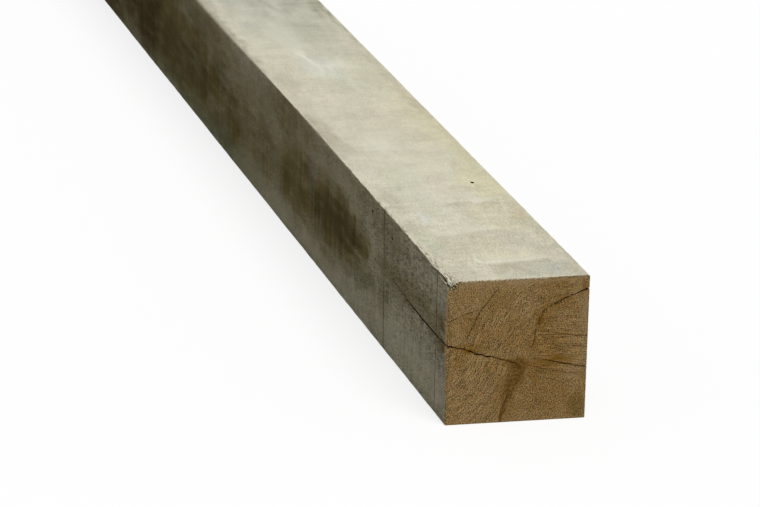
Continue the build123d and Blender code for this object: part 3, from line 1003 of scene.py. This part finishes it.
def addArrisWear(masks, back, height, fromArris, left, top):
    # a painted highlight along the top left arris, pale slivers beside it, and mottled weathering below it
    # the highlight is painted pale into the colour, in a narrow band right at the arris
    arrisHighlight = latticeNoise(back, fromArris, 5 * mm, 1.6 * mm, seeds["arrisHighlight"])
    arrisHighlight = arrisChance["arrisHighlight"] * hump(fromArris, 1.1 * mm) * (0.5 + arrisHighlight) * before(back, 320, 100)
    masks["pale"] += np.where(left | top, arrisHighlight, 0)
    slivers = latticeNoise(back, fromArris + 0.02 * back, 18 * mm, 0.7 * mm, seeds["slivers"])
    slivers = blend((slivers - 0.45) / 0.2) * (before(back, 55, 20) * blend(1 - (fromArris / mm - 4) / 4))
    masks["pale"] += np.where(top, slivers * arrisChance["slivers"], 0)
    mottle = latticeNoise(back + 0.15 * height, height, 7 * mm, 2.0 * mm, seeds["mottle"]) - 0.5
    strip = left * past(height, 80, 40) * before(back, 310, 60) * past(back, 20, 30)
    masks["dark"] += strip * np.clip(-mottle - 0.08, 0, 1) * arrisChance["mottledDark"]
    masks["pale"] += strip * np.clip(mottle - 0.08, 0, 1) * arrisChance["mottledPale"]


def blackShare(back, across, height, roundTheCorner, left, top):
    # painted black shade inside the fissure, and the black pits round the torn corner
    frayed = latticeNoise(back, roundTheCorner, 5 * mm, 1.2 * mm, seeds["fissure"])
    black = fissureShare(back, roundTheCorner) * (left | top) * (0.3 + 1.6 * frayed)
    for face, backPlace, level, radius in cornerPits:
        surface, on = (across, top) if face == "top" else (height, left)
        off = np.hypot(back - backPlace * mm, surface - level * mm) / (radius * mm)
        black = np.maximum(black, on * blend((1.15 - off) / 0.4))
    return black


def sideLips(back, height, left, right):
    # distance past the nearer lip of the two checks on the sides, in millimetres
    nearest = np.full_like(back, 9)
    for side, face in (("left", left), ("right", right)):
        for check in (mainCheck, topCheck):
            gap = along(check[side + "Gap"], back) / mm
            off = np.abs(height - along(check[side + "Path"], back)) / mm - gap / 2
            nearest = np.where(face, np.minimum(nearest, off + 4 * blend(1 - gap / 0.3)), nearest)
    return nearest


def freshShare(back, across, height, left, top):
    # the strip where the saw broke out fresh wood, ragged up the left side and along the rim of the top
    ragged = 0.6 * latticeNoise(height, back, 2.4 * mm, 1, seeds["breakOut"])
    ragged = ragged + 0.4 * latticeNoise(height, back, 7 * mm, 1, seeds["breakOutWide"])
    strip = along(breakOut, height) * (0.65 + 0.7 * ragged)
    rimNoise = latticeNoise(across, back, 2.6 * mm, 1, seeds["rim"])
    rimReach = 0.3 * mm + 2.4 * mm * np.clip(rimNoise - 0.3, 0, 1)
    rim = 0.8 * blend((rimReach - back) / (0.8 * mm) + 0.5)
    return np.where(left, blend((strip - back) / (1.4 * mm) + 0.5), np.where(top, rim, 0))


def paintLongFaces(back, across, height):
    hair = 0.02 * mm  # a point this close to a face lies on it
    left, top, right = across < leftSide + hair, height > beamHeight - hair, across > rightSide - hair
    place = np.where(top, across, height)
    roundTheCorner = np.where(top, across - leftSide, height - beamHeight)
    fromArris = np.abs(roundTheCorner)
    paint("upFace", topShare(back, roundTheCorner, left, top))
    masks = stainMasks(back, place, left, top)
    addSawEdges(masks, back, across, top)
    fray = blend(1.6 - fromArris / along(arrisChance["fray"], back)) * before(back, 450, 150)
    paint("fray", fray * np.where(top, 1, arrisChance["fraySide"] * left))
    addArrisWear(masks, back, height, fromArris, left, top)
    for name, values in masks.items():
        paint(name, values)
    paint("sideLip", sideLips(back, height, left, right), -3, 9)
    paint("black", blackShare(back, across, height, roundTheCorner, left, top))
    paint("fresh", freshShare(back, across, height, left, top))


def lipDistance(across, height):
    # distance past the nearer lip of the two checks, in millimetres, less than 0 between the lips
    nearest = np.full_like(across, 9)
    for check in (mainCheck, topCheck):
        gap = endGap(check, across) / mm
        off = np.abs(height - endPath(check, across)) / mm - gap / 2
        nearest = np.minimum(nearest, off + 4 * blend(1 - gap / 0.25))
    return nearest


def paintNearEnd(back, across, height):
    onEnd = back < 0.5 * mm
    check = endPath(mainCheck, across)
    ragged = evenNoise(across, height, 6, seeds["endStain"])
    ragged = ragged + 0.5 * evenNoise(across, height, 2.2, seeds["endStainFine"]) - 0.75
    u = across + 5 * mm * ragged
    v = height + 5 * mm * (evenNoise(across, height, 7, seeds["endStainUp"]) - 0.5)
    for name, marks in endMarks.items():
        paint("end" + name.capitalize(), onEnd * strokes(u, v, marks))
    paint("endHeart", onEnd * ribbon(across + 3 * mm * ragged, height, heartStreak))

    # the three zones in which the saw's marks run differently: below the main check, right of the pith,
    # and between the checks
    aboveCheck = blend((height - check) / (4 * mm))
    leftOfShake = blend((-21 * mm - across - 0.62 * (143 * mm - height)) / (4 * mm))
    lowLeft = blend((check - height) / (4 * mm))
    lowLeft = lowLeft * blend((-2 * mm - across + 0.3 * (height - 30 * mm)) / (16 * mm))
    paint("zoneLow", onEnd * np.maximum(lowLeft, 0.4 * leftOfShake * aboveCheck))
    paint("zoneRight", onEnd * past(across, 12, 12) * past(height, 44, 12) * before(height, 118, 16))
    paint("zoneUp", onEnd * (aboveCheck * before(across, 50, 40) * (1 - leftOfShake)))

    pits = np.zeros_like(across)
    for level, up, radius in endPits:
        off = np.hypot(across - level * mm, height - up * mm) / (radius * mm)
        pits = np.maximum(pits, blend((1.5 - off) / 1.1))
    paint("endPits", onEnd * pits)
    fromTear = np.hypot((across - leftSide) / 1.25, beamHeight - height)
    paint("endTorn", onEnd * before(fromTear, 11.5, 3.5))
    fromEdge = np.minimum.reduce((across - leftSide, beamHeight - height, 1.6 * (rightSide - across)))
    paint("endRim", onEnd * before(fromEdge, 2.4, 1.6))
    for name, lines in (("line", endLines), ("lineToo", endLinesToo)):
        signed, drawn = lineField(across, height, lines)
        paint(name, signed, -9, 9)
        paint(name + "Drawn", drawn * onEnd)
    paint("lip", np.where(onEnd, lipDistance(across, height), 9), -3, 9)
    paint("pastPith", past(across, 12, 10) * before(height, 100, 10))


paintLongFaces(*beamFlat.T)
paintNearEnd(*beamFlat.T)
print("masks painted")


# small helpers for node trees
def startTree(name):
    material = bpy.data.materials.new(name)
    material.use_nodes = True
    material.node_tree.nodes.clear()
    return material, material.node_tree


def put(tree, kind, inputs=None, **settings):
    # one node, with its settings and its inputs given as values or as links
    node = tree.nodes.new("ShaderNode" + kind)
    for name, value in settings.items():
        setattr(node, name, value)
    for name, value in (inputs or {}).items():
        if isinstance(value, bpy.types.NodeSocket):
            tree.links.new(value, node.inputs[name])
        else:
            node.inputs[name].default_value = value
    return node


def calc(tree, operation, *values):
    return put(tree, "Math", dict(enumerate(values)), operation=operation).outputs[0]


def chain(tree, operation, values):
    result = values[0]
    for value in values[1:]:
        result = calc(tree, operation, result, value)
    return result


def total(tree, *values):
    return chain(tree, "ADD", values)


def times(tree, *values):
    return chain(tree, "MULTIPLY", values)


def between(tree, value, low, high, outLow=0.0, outHigh=1.0):
    # a smooth step from one value to another
    inputs = {"Value": value, "From Min": low, "From Max": high, "To Min": outLow, "To Max": outHigh}
    return put(tree, "MapRange", inputs, interpolation_type="SMOOTHSTEP").outputs[0]


def swing(tree, value, amount, gate=None):
    # a noise value around 0.5 turned into a change around 0, weighed by a mask
    change = calc(tree, "MULTIPLY_ADD", value, 2 * amount, -amount)
    return change if gate is None else calc(tree, "MULTIPLY", change, gate)


def mix(tree, factor, first, second, kind="MIX"):
    node = put(tree, "Mix", {0: factor}, data_type="RGBA", blend_type=kind)
    for socket, value in ((node.inputs[6], first), (node.inputs[7], second)):
        if isinstance(value, bpy.types.NodeSocket):
            tree.links.new(value, socket)
        else:
            socket.default_value = (*value, 1)
    return node.outputs[2]


def colour(red, green, blue):
    # a colour as it looks on a screen, 0 to 255, turned into the linear value that light needs
    share = np.array((red, green, blue)) / 255
    return tuple(np.where(share <= 0.04045, share / 12.92, ((share + 0.055) / 1.055) ** 2.4).tolist())


def mask(tree, name):
    return put(tree, "Attribute", attribute_name=name).outputs["Fac"]


def noise(tree, place, scale, detail, roughness=0.5):
    inputs = {"Vector": place, "Scale": scale, "Detail": detail, "Roughness": roughness}
    return put(tree, "TexNoise", inputs).outputs["Fac"]


def inMillimetres(tree):
    place = put(tree, "TexCoord").outputs["Object"]
    place = put(tree, "VectorMath", {0: place, "Scale": 1000.0}, operation="SCALE").outputs[0]
    return place, put(tree, "SeparateXYZ", {0: place}).outputs


def vector(tree, first, second, third=0.0):
    return put(tree, "CombineXYZ", {0: first, 1: second, 2: third}).outputs[0]


def finishTree(tree, tone, roughness, relief, depth):
    normal = put(tree, "Bump", {"Height": relief, "Distance": depth * mm, "Strength": 1.0}).outputs[0]
    shader = put(tree, "BsdfPrincipled", {"Base Color": tone, "Roughness": roughness, "Normal": normal})
    shader.inputs["Specular IOR Level"].default_value = 0.02
    put(tree, "OutputMaterial", {"Surface": shader.outputs[0]})


# weathered faces: what each mask leads to, on the sides and on the top
weathered = {
    "base": (colour(137, 131, 109), colour(204, 199, 178)),
    "yellow": (colour(137, 127, 97), colour(208, 202, 167)),
    "green": (colour(106, 106, 80), colour(191, 195, 169)),
    "blue": (colour(120, 121, 111), colour(195, 200, 195)),
    "brown": (colour(94, 82, 45), colour(192, 173, 143)),
    "dark": (colour(51, 41, 12), colour(104, 94, 68)),
    # pale is pale wood, and also painted light: the highlight along the top left arris and the floor's
    # light low on the left side
    "pale": (colour(184, 177, 152), colour(222, 220, 203)),
    "fresh": (colour(166, 133, 90), colour(196, 166, 124)),
    # black is painted shade inside the fissure, the checks and the pin holes, and the colour of the black
    # pits round the torn corner
    "black": (colour(22, 18, 6), colour(22, 18, 6)),
    "split": (colour(104, 90, 58), colour(228, 220, 198)),  # frayed fibres: their shadow and their lit side
}

# the noises of the grain: whether each is drawn out along it, or across it by the saw, and how far; scale,
# detail and roughness; and how strongly it shows on the sides and on the top
oakGrain = {
    "streaks": ("along", 22, 0.16, 3.0, 0.6, 0.24, 0.07),
    "fibres": ("along", 14, 0.5, 3.0, 0.6, 0.36, 0.1),
    "hairs": ("along", 6, 0.62, 2.0, 0.7, 0.7, 0.2),
    "clouds": ("even", 1, 0.03, 3.0, 0.55, 0.16, 0.18),
    "blotches": ("along", 1.6, 0.11, 3.0, 0.6, 0.18, 0.09),
    "sawn": ("across", 0.06, 0.11, 3.0, 0.6, 0.28, 0.08),
    "fineSawn": ("across", 0.12, 0.34, 2.0, 0.6, 0.42, 0.09),
    "specks": ("along", 2.4, 0.42, 2.0, 0.65, 0.24, 0.12),
}
fineGrain = ("fibres", "hairs", "sawn", "fineSawn", "specks")  # these are washed out on the far stretch

oakShow = {
    "sawCut": (0.8, 0.3),  # how far the coarse and the fine saw marks break up the stains
    "darkSpecks": (0.24, 0.14),  # on the sides and on the top
    "split": (0.85, 0.4),
    "fresh": (0.7, 0.5),
    "splinter": 0.9,
    "relief": {"fibres": 0.5, "hairs": 0.4, "specks": 0.3, "sawn": 0.4},
    "reliefDepth": 0.5,
    "roughness": (0.75, 0.92),
}

# soft dark lines across the left side where the saw stood: distance back, slant, half width, strength
stopLines = ((259, 0.06, 2.2, 0.7), (44.2, 0.012, 1.5, 0.95), (166, 0.0, 2.2, 0.2))


def grainNoises(tree, place, parts):
    # the grain rises and drifts towards the near end, and the saw's marks run straight across it
    acrossGrain = calc(tree, "MULTIPLY_ADD", parts[0], sawnFace["driftAcrossTop"], parts[1])
    upGrain = calc(tree, "MULTIPLY_ADD", parts[0], -sawnFace["riseAlongLeft"], parts[2])
    grain = {}
    for name, (run, stretch, scale, detail, roughness, _, _) in oakGrain.items():
        drawnOut = place
        if run == "along":
            drawnOut = vector(tree, calc(tree, "MULTIPLY", parts[0], 1 / stretch), acrossGrain, upGrain)
        if run == "across":
            narrow = (calc(tree, "MULTIPLY", part, stretch) for part in (parts[1], parts[2]))
            drawnOut = vector(tree, parts[0], *narrow)
        grain[name] = noise(tree, drawnOut, scale, detail, roughness)
    return grain


def stainedTone(tree, parts, upFace, grain):
    # the painted stains, broken up by the saw's marks, under the grain, with dark and pale ones over it
    def onBoth(name):
        return mix(tree, upFace, *weathered[name])

    tone = onBoth("base")
    for name in ("yellow", "green", "blue"):
        tone = mix(tree, mask(tree, name), tone, onBoth(name))
    backFrom = calc(tree, "SUBTRACT", nearEnd / mm, parts[0])
    coarse, fine = oakShow["sawCut"]
    sawCut = total(tree, swing(tree, grain["sawn"], coarse), swing(tree, grain["fineSawn"], fine))
    broken = calc(tree, "MULTIPLY_ADD", sawCut, between(tree, backFrom, 700.0, 1500.0, 1.0, 0.4), 1.0)
    stained = times(tree, mask(tree, "brown"), broken)
    tone = mix(tree, stained, tone, onBoth("brown"))
    change = 1.0
    crispness = times(tree, between(tree, backFrom, 120.0, 520.0, 1.7, 0.8),
                      between(tree, backFrom, 800.0, 1500.0, 1.0, 0.35))
    for name, (*_, onSide, onTop) in oakGrain.items():
        amount = between(tree, upFace, 0.0, 1.0, onSide, onTop)
        if name in fineGrain:
            amount = times(tree, amount, crispness)
        change = calc(tree, "MULTIPLY_ADD", swing(tree, grain[name], 1.0), amount, change)
    tone = mix(tree, 1.0, tone, change, "MULTIPLY")
    speckShare = between(tree, upFace, 0.0, 1.0, *oakShow["darkSpecks"])
    darkSpeck = times(tree, between(tree, grain["specks"], 0.58, 0.7), speckShare)
    darkShare = calc(tree, "MAXIMUM", times(tree, mask(tree, "dark"), broken), darkSpeck)
    tone = mix(tree, darkShare, tone, onBoth("dark"))
    return mix(tree, mask(tree, "pale"), tone, onBoth("pale")), backFrom


def frayedTone(tree, tone, parts, upFace):
    # split fibres beside the top left arris, each with a shadow and a lit side
    drawnOut = vector(tree, calc(tree, "MULTIPLY", parts[0], 0.1), parts[1], parts[2])
    frayed = noise(tree, drawnOut, 0.85, 1.0)
    fray = mask(tree, "fray")
    dark, lit = oakShow["split"]
    darkShare = times(tree, between(tree, frayed, 0.55, 0.61), fray, dark)
    tone = mix(tree, darkShare, tone, weathered["split"][0])
    litShare = times(tree, between(tree, frayed, 0.48, 0.4), fray, upFace, lit)
    return mix(tree, litShare, tone, weathered["split"][1])


def stoppedTone(tree, tone, parts, backFrom, onLeft, grain):
    # the lines where the saw stood
    for middle, slant, half, strength in stopLines:
        centre = calc(tree, "MULTIPLY_ADD", calc(tree, "SUBTRACT", parts[2], 76.0), slant, middle)
        off = calc(tree, "ABSOLUTE", calc(tree, "SUBTRACT", backFrom, centre))
        line = times(tree, between(tree, off, half * 1.5, 0.0, 0.0, strength), onLeft,
                     between(tree, grain["blotches"], 0.3, 0.6, 0.6, 1.0))
        tone = mix(tree, line, tone, weathered["dark"][0])
    return tone


def brokenTone(tree, tone, parts, upFace, backFrom, onLeft, grain):
    # fresh wood, painted black shade in the fissure with the splinter over it, and painted black shade
    # inside the checks and the pin holes
    specks, hairs = oakShow["fresh"]
    change = total(tree, swing(tree, grain["specks"], specks), swing(tree, grain["hairs"], hairs), 1.0)
    freshGrain = mix(tree, 1.0, mix(tree, upFace, *weathered["fresh"]), change, "MULTIPLY")
    tone = mix(tree, mask(tree, "fresh"), tone, freshGrain)
    # black shade painted in the fissure, and the black pits round the torn corner
    torn = times(tree, mask(tree, "black"), between(tree, grain["specks"], 0.38, 0.55, 0.55, 1.0))
    near, far, rise, half = (splinter[name] for name in ("near", "far", "rise", "half"))
    middle = calc(tree, "MULTIPLY_ADD", backFrom, rise, splinter["height"] - near * rise)
    off = calc(tree, "ABSOLUTE", calc(tree, "SUBTRACT", parts[2], middle))
    tips = times(tree, between(tree, backFrom, near - 2.0, near + 1.0),
                 between(tree, backFrom, far + 3.0, far - 3.0))
    standing = times(tree, between(tree, off, half, half / 3), tips, onLeft, oakShow["splinter"])
    black = weathered["black"][0]
    tone = mix(tree, torn, tone, black)
    tone = mix(tree, standing, tone, weathered["base"][1])
    # inside the checks on the sides the colour is painted black shade
    tone = mix(tree, between(tree, mask(tree, "sideLip"), 0.3, -0.05), tone, black)
    # each pin hole is painted black shade, out to just past its rim
    for face, backPlace, level, radius in pinHoles:
        on = upFace if face == "top" else onLeft
        sideways = calc(tree, "SUBTRACT", parts[1] if face == "top" else parts[2], level)
        lengthways = times(tree, calc(tree, "SUBTRACT", backFrom, float(backPlace)), 0.6)
        squared = calc(tree, "MULTIPLY", lengthways, lengthways)
        squared = calc(tree, "MULTIPLY_ADD", sideways, sideways, squared)
        hole = times(tree, between(tree, squared, (radius + 1.0)**2, (radius + 0.3)**2), on)
        tone = mix(tree, hole, tone, black)
    return tone


def weatheredOak():
    material, tree = startTree("weatheredOak")
    place, parts = inMillimetres(tree)
    upFace = mask(tree, "upFace")
    grain = grainNoises(tree, place, parts)
    tone, backFrom = stainedTone(tree, parts, upFace, grain)
    tone = frayedTone(tree, tone, parts, upFace)
    onLeft = between(tree, parts[1], leftSide / mm + 3, leftSide / mm + 1)
    tone = stoppedTone(tree, tone, parts, backFrom, onLeft, grain)
    tone = brokenTone(tree, tone, parts, upFace, backFrom, onLeft, grain)
    relief = total(tree, *[times(tree, grain[name], share) for name, share in oakShow["relief"].items()])
    roughness = between(tree, grain["fibres"], 0.3, 0.7, *oakShow["roughness"])
    finishTree(tree, tone, roughness, relief, oakShow["reliefDepth"])
    return material


freshCut = {
    "reddish": (1.05, 0.97, 0.98),
    "greenish": (0.98, 1.02, 0.92),
    "pale": colour(135, 111, 75),
    "deep": colour(119, 91, 47),
    "gold": colour(112, 81, 14),
    "heart": colour(90, 62, 20),
    "olive": colour(96, 84, 44),
    "white": colour(152, 130, 94),
    "line": colour(60, 36, 6),
    # the next two colours are painted shade inside the checks; the first also colours the darkest dots of
    # the torn corner
    "checkShade": colour(38, 14, 0),
    "shake": colour(74, 46, 2),
    "rimDark": colour(72, 58, 26),
    "rimPale": colour(196, 182, 146),
    # the next colour is the burr along the end's upper edge: partly pale wood, partly a painted highlight
    "burrAndHighlight": colour(212, 198, 170),
    "stain": colour(84, 57, 17),
    "pore": colour(72, 47, 14),
    "grain": colour(168, 142, 100),
}

endShow = {
    "rings": (0.08, 0.6),  # on the near end and on the far end
    "rays": (0.1, 0.3),
    "fine": (0.82, 0.5),
    "lowArcs": 0.31,
    "upArcs": 0.32,
    "sawLines": 0.34,
    "roughness": 0.82,
    "reliefDepth": 0.5,
}

pith = (1.0, 63.0)  # the middle of the growth rings, across and up

# the saw's marks on the end are arcs: their centre across and up, the side that they are counted from,
# spacing, length and detail
sawArcs = {"lowArcs": (-110, 90, 1, 1.05, 24, 1.5), "upArcs": (88, 39, -1, 0.95, 16, 1.5)}

# which painted patches of the near end take which colour, and how strongly
endPatches = (
    ("endOlive", "olive", 1.2), ("endGold", "gold", 1.5), ("endHeart", "heart", 1.25),
    ("endPale", "white", 1.1),
)


def nearEndMarks(tree, tone, place, parts, grit, broken):
    # the painted patches, lines, pits and checks of the near end, with painted shade inside the checks,
    # then its upper edge with a painted highlight, its rim and its torn corner
    jagged = total(tree, swing(tree, grit, 0.6), swing(tree, broken, 1.4))
    spread = noise(tree, place, 0.42, 1.0)
    dashes = {
        "line": between(tree, spread, 0.38, 0.5, 0.7, 1.15),
        "lineToo": between(tree, spread, 0.44, 0.52, 0.1, 1.2),
    }
    for name, toneName, share in endPatches:
        edge = total(tree, 0.55, swing(tree, grit, 0.4), swing(tree, broken, 1.0))
        tone = mix(tree, times(tree, edge, mask(tree, name), share), tone, freshCut[toneName])
    for lineName in ("line", "lineToo"):
        signed = calc(tree, "ADD", mask(tree, lineName), jagged)
        drawn = times(tree, mask(tree, lineName + "Drawn"), dashes[lineName])
        core = times(tree, between(tree, calc(tree, "ABSOLUTE", signed), 1.7, 0.5), drawn)
        beside = calc(tree, "ABSOLUTE", calc(tree, "ADD", signed, 2.4))
        lit = times(tree, between(tree, beside, 1.1, 0.3), drawn, 0.35)
        tone = mix(tree, lit, tone, freshCut["white"])
        tone = mix(tree, times(tree, core, 0.9), tone, freshCut["line"])
    tone = mix(tree, times(tree, mask(tree, "endPits"), 0.75), tone, freshCut["line"])
    lip = calc(tree, "ADD", mask(tree, "lip"), swing(tree, grit, 0.25))
    tone = mix(tree, between(tree, lip, 1.0, 0.0, 0.0, 0.5), tone, freshCut["stain"])
    # inside the checks the colour is painted shade: near black, and dark brown in the narrow stretch right
    # of the pith
    inside = mix(tree, mask(tree, "pastPith"), freshCut["checkShade"], freshCut["shake"])
    tone = mix(tree, between(tree, lip, 0.3, -0.05), tone, inside)

    # the burr that the saw left along the upper edge is painted as pale as the top: partly pale wood,
    # partly a painted highlight on the eased edge
    burrAndHighlight = calc(tree, "ADD", parts[2], swing(tree, broken, 1.2))
    stretch = times(tree, between(tree, parts[1], -64.0, -58.0), between(tree, parts[1], 44.0, 28.0), 0.9)
    tone = mix(tree, times(tree, between(tree, burrAndHighlight, 150.6, 151.3), stretch), tone, freshCut["burrAndHighlight"])

    # the rim of the sawn end is dotted, and the torn corner shows pale and dark fibres
    dots = noise(tree, place, 0.7, 2.0, 0.7)
    rim = mask(tree, "endRim")
    tone = mix(tree, times(tree, between(tree, dots, 0.48, 0.56), rim, 0.95), tone, freshCut["rimDark"])
    tone = mix(tree, times(tree, between(tree, dots, 0.46, 0.4), rim, 0.6), tone, freshCut["rimPale"])
    torn = mix(tree, between(tree, broken, 0.42, 0.56), freshCut["rimPale"], freshCut["olive"])
    # its darkest dots take the colour of the painted shade in the checks
    torn = mix(tree, between(tree, dots, 0.51, 0.58), torn, freshCut["checkShade"])
    return mix(tree, times(tree, mask(tree, "endTorn"), 0.9), tone, torn)


def endGrain(name, isNear):
    material, tree = startTree(name)
    place, parts = inMillimetres(tree)
    y, z = parts[1], parts[2]

    def fromPoint(centreY, centreZ, flip=1):
        dy, dz = calc(tree, "SUBTRACT", y, centreY), calc(tree, "SUBTRACT", z, centreZ)
        squared = calc(tree, "MULTIPLY", dz, dz)
        radius = calc(tree, "SQRT", calc(tree, "MULTIPLY_ADD", dy, dy, squared))
        return dy, dz, radius, calc(tree, "ARCTAN2", dz, calc(tree, "MULTIPLY", dy, flip))

    def arcs(centreY, centreZ, flip, spacing, length, detail):
        # streaks along circles round a point outside the section
        radius, angle = fromPoint(centreY, centreZ, flip)[2:]
        turned = calc(tree, "MULTIPLY", angle, 110 / length)
        streaks = noise(tree, vector(tree, calc(tree, "DIVIDE", radius, spacing), turned), 1.0, detail, 0.6)
        return between(tree, streaks, 0.36, 0.64)

    # rings and rays round the pith, then pores, saw marks and patches
    dy, dz, fromPith, _ = fromPoint(*pith)
    towardsY, towardsZ = calc(tree, "DIVIDE", dy, fromPith), calc(tree, "DIVIDE", dz, fromPith)
    wavy = calc(tree, "MULTIPLY_ADD", noise(tree, place, 0.05, 2.0), 9.0, fromPith)
    ringPlace = vector(tree, calc(tree, "DIVIDE", wavy, 1.9), times(tree, towardsY, 1.4),
                       times(tree, towardsZ, 1.4))
    rayPlace = vector(tree, times(tree, towardsY, 26.0), times(tree, towardsZ, 26.0),
                      calc(tree, "DIVIDE", fromPith, 26.0))
    rings, rays = noise(tree, ringPlace, 1.0, 1.0), noise(tree, rayPlace, 1.0, 2.0, 0.6)
    pores = noise(tree, place, 0.72, 3.0, 0.7)
    grit = between(tree, pores, 0.36, 0.64)
    fine = between(tree, noise(tree, place, 1.15, 2.0, 0.7), 0.37, 0.63)
    patches = noise(tree, place, 0.09, 4.0, 0.6)
    broken = noise(tree, place, 0.28, 2.0, 0.6)
    if isNear:
        zoneLow, zoneRight, zoneUp = mask(tree, "zoneLow"), mask(tree, "zoneRight"), mask(tree, "zoneUp")
        deep, speckled = mask(tree, "endDeep"), mask(tree, "endSpeckled")
    else:
        zoneLow = zoneRight = zoneUp = speckled = put(tree, "Value").outputs[0]
        zoneLow.default_value = 0.25
        deep = between(tree, patches, 0.35, 0.65)
    lowArcs, upArcs = arcs(*sawArcs["lowArcs"]), arcs(*sawArcs["upArcs"])
    lean = calc(tree, "MULTIPLY_ADD", y, 0.10, z)
    sawLines = noise(tree, vector(tree, times(tree, y, 0.07), lean), 0.8, 2.0, 0.6)
    sawLines = between(tree, sawLines, 0.34, 0.66)

    ringShare, rayShare, fineShare = (endShow[kind][0 if isNear else 1]
                                      for kind in ("rings", "rays", "fine"))
    deepShare = total(tree, times(tree, deep, 0.85), swing(tree, patches, 0.35), 0.12)
    tone = mix(tree, deepShare, freshCut["pale"], freshCut["deep"])
    coarseGrain = calc(tree, "MULTIPLY_ADD", speckled, 0.14, 0.1)
    marks = (("lowArcs", lowArcs, zoneLow), ("upArcs", upArcs, zoneUp), ("sawLines", sawLines, zoneRight))
    change = total(
        tree, *[swing(tree, value, endShow[kind], zone) for kind, value, zone in marks],
        swing(tree, rings, ringShare), swing(tree, rays, rayShare), swing(tree, grit, 1.0, coarseGrain),
        swing(tree, fine, fineShare), 1.0)
    hue = between(tree, noise(tree, place, 0.2, 3.0, 0.6), 0.4, 0.6)
    tone = mix(tree, 1.0, tone, mix(tree, hue, freshCut["reddish"], freshCut["greenish"]), "MULTIPLY")
    tone = mix(tree, 1.0, tone, change, "MULTIPLY")
    for low, high, amount, toneName in ((0.4, 0.3, 0.5, "pore"), (0.57, 0.66, 0.45, "grain")):
        poreShare = between(tree, pores, low, high)
        poreShare = times(tree, poreShare, calc(tree, "MULTIPLY_ADD", speckled, amount, 0.15))
        tone = mix(tree, poreShare, tone, freshCut[toneName])
    if isNear:
        tone = nearEndMarks(tree, tone, place, parts, grit, broken)
    relief = total(tree, pores, times(tree, fine, 0.3), times(tree, sawLines, zoneRight, 0.4),
                   times(tree, lowArcs, zoneLow, 0.15))
    finishTree(tree, tone, endShow["roughness"], relief, endShow["reliefDepth"])
    return material


for material in (weatheredOak(), endGrain("sawnEnd", True), endGrain("farSawnEnd", False)):
    beam.data.materials.append(material)
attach(beam, "root")
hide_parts("oak_beam")
print("materials made")


studio = {
    "floorHalf": 80.0,
    "floorSeen": 0.96,
    "floorWhite": 0.75,  # how much of the floor's white, as the camera sees it, doesn't depend on its light
    "floorLit": 0.5,
    "skyLit": 0.35,
    "sunLevel": 0.80,
    "sunHeight": 56,
    "sunTurn": 8,  # degrees round from the near end, towards the right side
    "sunSoftness": 40,
}


def seenByEye(tree):
    # 1 for what the camera sees, straight, in a mirror or through a glass, 0 for the light on the beam
    seen = put(tree, "LightPath").outputs
    mirrored = calc(tree, "MAXIMUM", seen["Is Glossy Ray"], seen["Is Transmission Ray"])
    return calc(tree, "MAXIMUM", seen["Is Camera Ray"], mirrored)


def buildStudio():
    half = studio["floorHalf"]
    mesh = bpy.data.meshes.new("floor")
    corners = [(-half, -half, 0), (half, -half, 0), (half, half, 0), (-half, half, 0)]
    mesh.from_pydata(corners, [], [(0, 1, 2, 3)])
    floor = addObject("floor", mesh)
    material, tree = startTree("paleFloor")
    toEye = seenByEye(tree)
    lit, white = (studio["floorLit"],) * 3, (studio["floorSeen"],) * 3
    diffuse = put(tree, "BsdfDiffuse", {"Color": mix(tree, toEye, lit, white)}).outputs[0]
    plain = put(tree, "Emission", {"Strength": 1.0}).outputs[0]
    surface = put(tree, "MixShader", {0: times(tree, toEye, studio["floorWhite"]), 1: diffuse, 2: plain})
    put(tree, "OutputMaterial", {"Surface": surface.outputs[0]})
    mesh.materials.append(material)

    world = bpy.data.worlds.new("studio")
    bpy.context.scene.world = world
    world.use_nodes = True
    tree = world.node_tree
    tree.nodes.clear()
    level = between(tree, seenByEye(tree), 0.0, 1.0, studio["skyLit"], 1.0)
    sky = put(tree, "Background", {"Color": (1, 1, 1, 1), "Strength": level})
    put(tree, "OutputWorld", {"Surface": sky.outputs[0]})

    lamp = bpy.data.lights.new("softSun", "SUN")
    lamp.energy = studio["sunLevel"] * pi
    lamp.angle = radians(studio["sunSoftness"])
    turn, rise = radians(studio["sunTurn"]), radians(studio["sunHeight"])
    towards = (cos(turn) * cos(rise), sin(turn) * cos(rise), sin(rise))
    sun = addObject("softSun", lamp)
    sun.rotation_mode = "QUATERNION"
    sun.rotation_quaternion = Vector(towards).to_track_quat("Z", "Y")


eye = {
    "lens": 215.27,
    "sensor": 36,
    "azimuth": 75.386,
    "elevation": 16.864,
    "roll": 1.53,
    "fromNearEnd": (4190.58, -1238.64, 1498.39),  # from the middle of the near end's bottom edge
}


def buildCamera():
    # looks level along its azimuth, is tipped down by its elevation, and rolled
    data = bpy.data.cameras.new("eye")
    data.lens = eye["lens"]
    data.sensor_width = eye["sensor"]
    camera = addObject("eye", data)
    turn, rise, roll = (radians(eye[name]) for name in ("azimuth", "elevation", "roll"))
    backward = np.array((sin(turn) * cos(rise), -cos(turn) * cos(rise), sin(rise)))
    level = np.array((cos(turn), sin(turn), 0))
    rightward = level * cos(roll) + np.cross(backward, level) * sin(roll)
    place = np.array(eye["fromNearEnd"]) * mm + (nearEnd, 0, 0)
    matrix = np.eye(4)
    matrix[:3] = np.stack((rightward, np.cross(backward, rightward), backward, place), axis=1)
    camera.matrix_world = Matrix(matrix.tolist())
    bpy.context.scene.camera = camera


buildStudio()
buildCamera()
bpy.context.scene.view_settings.view_transform = "Standard"
print("studio and camera set")
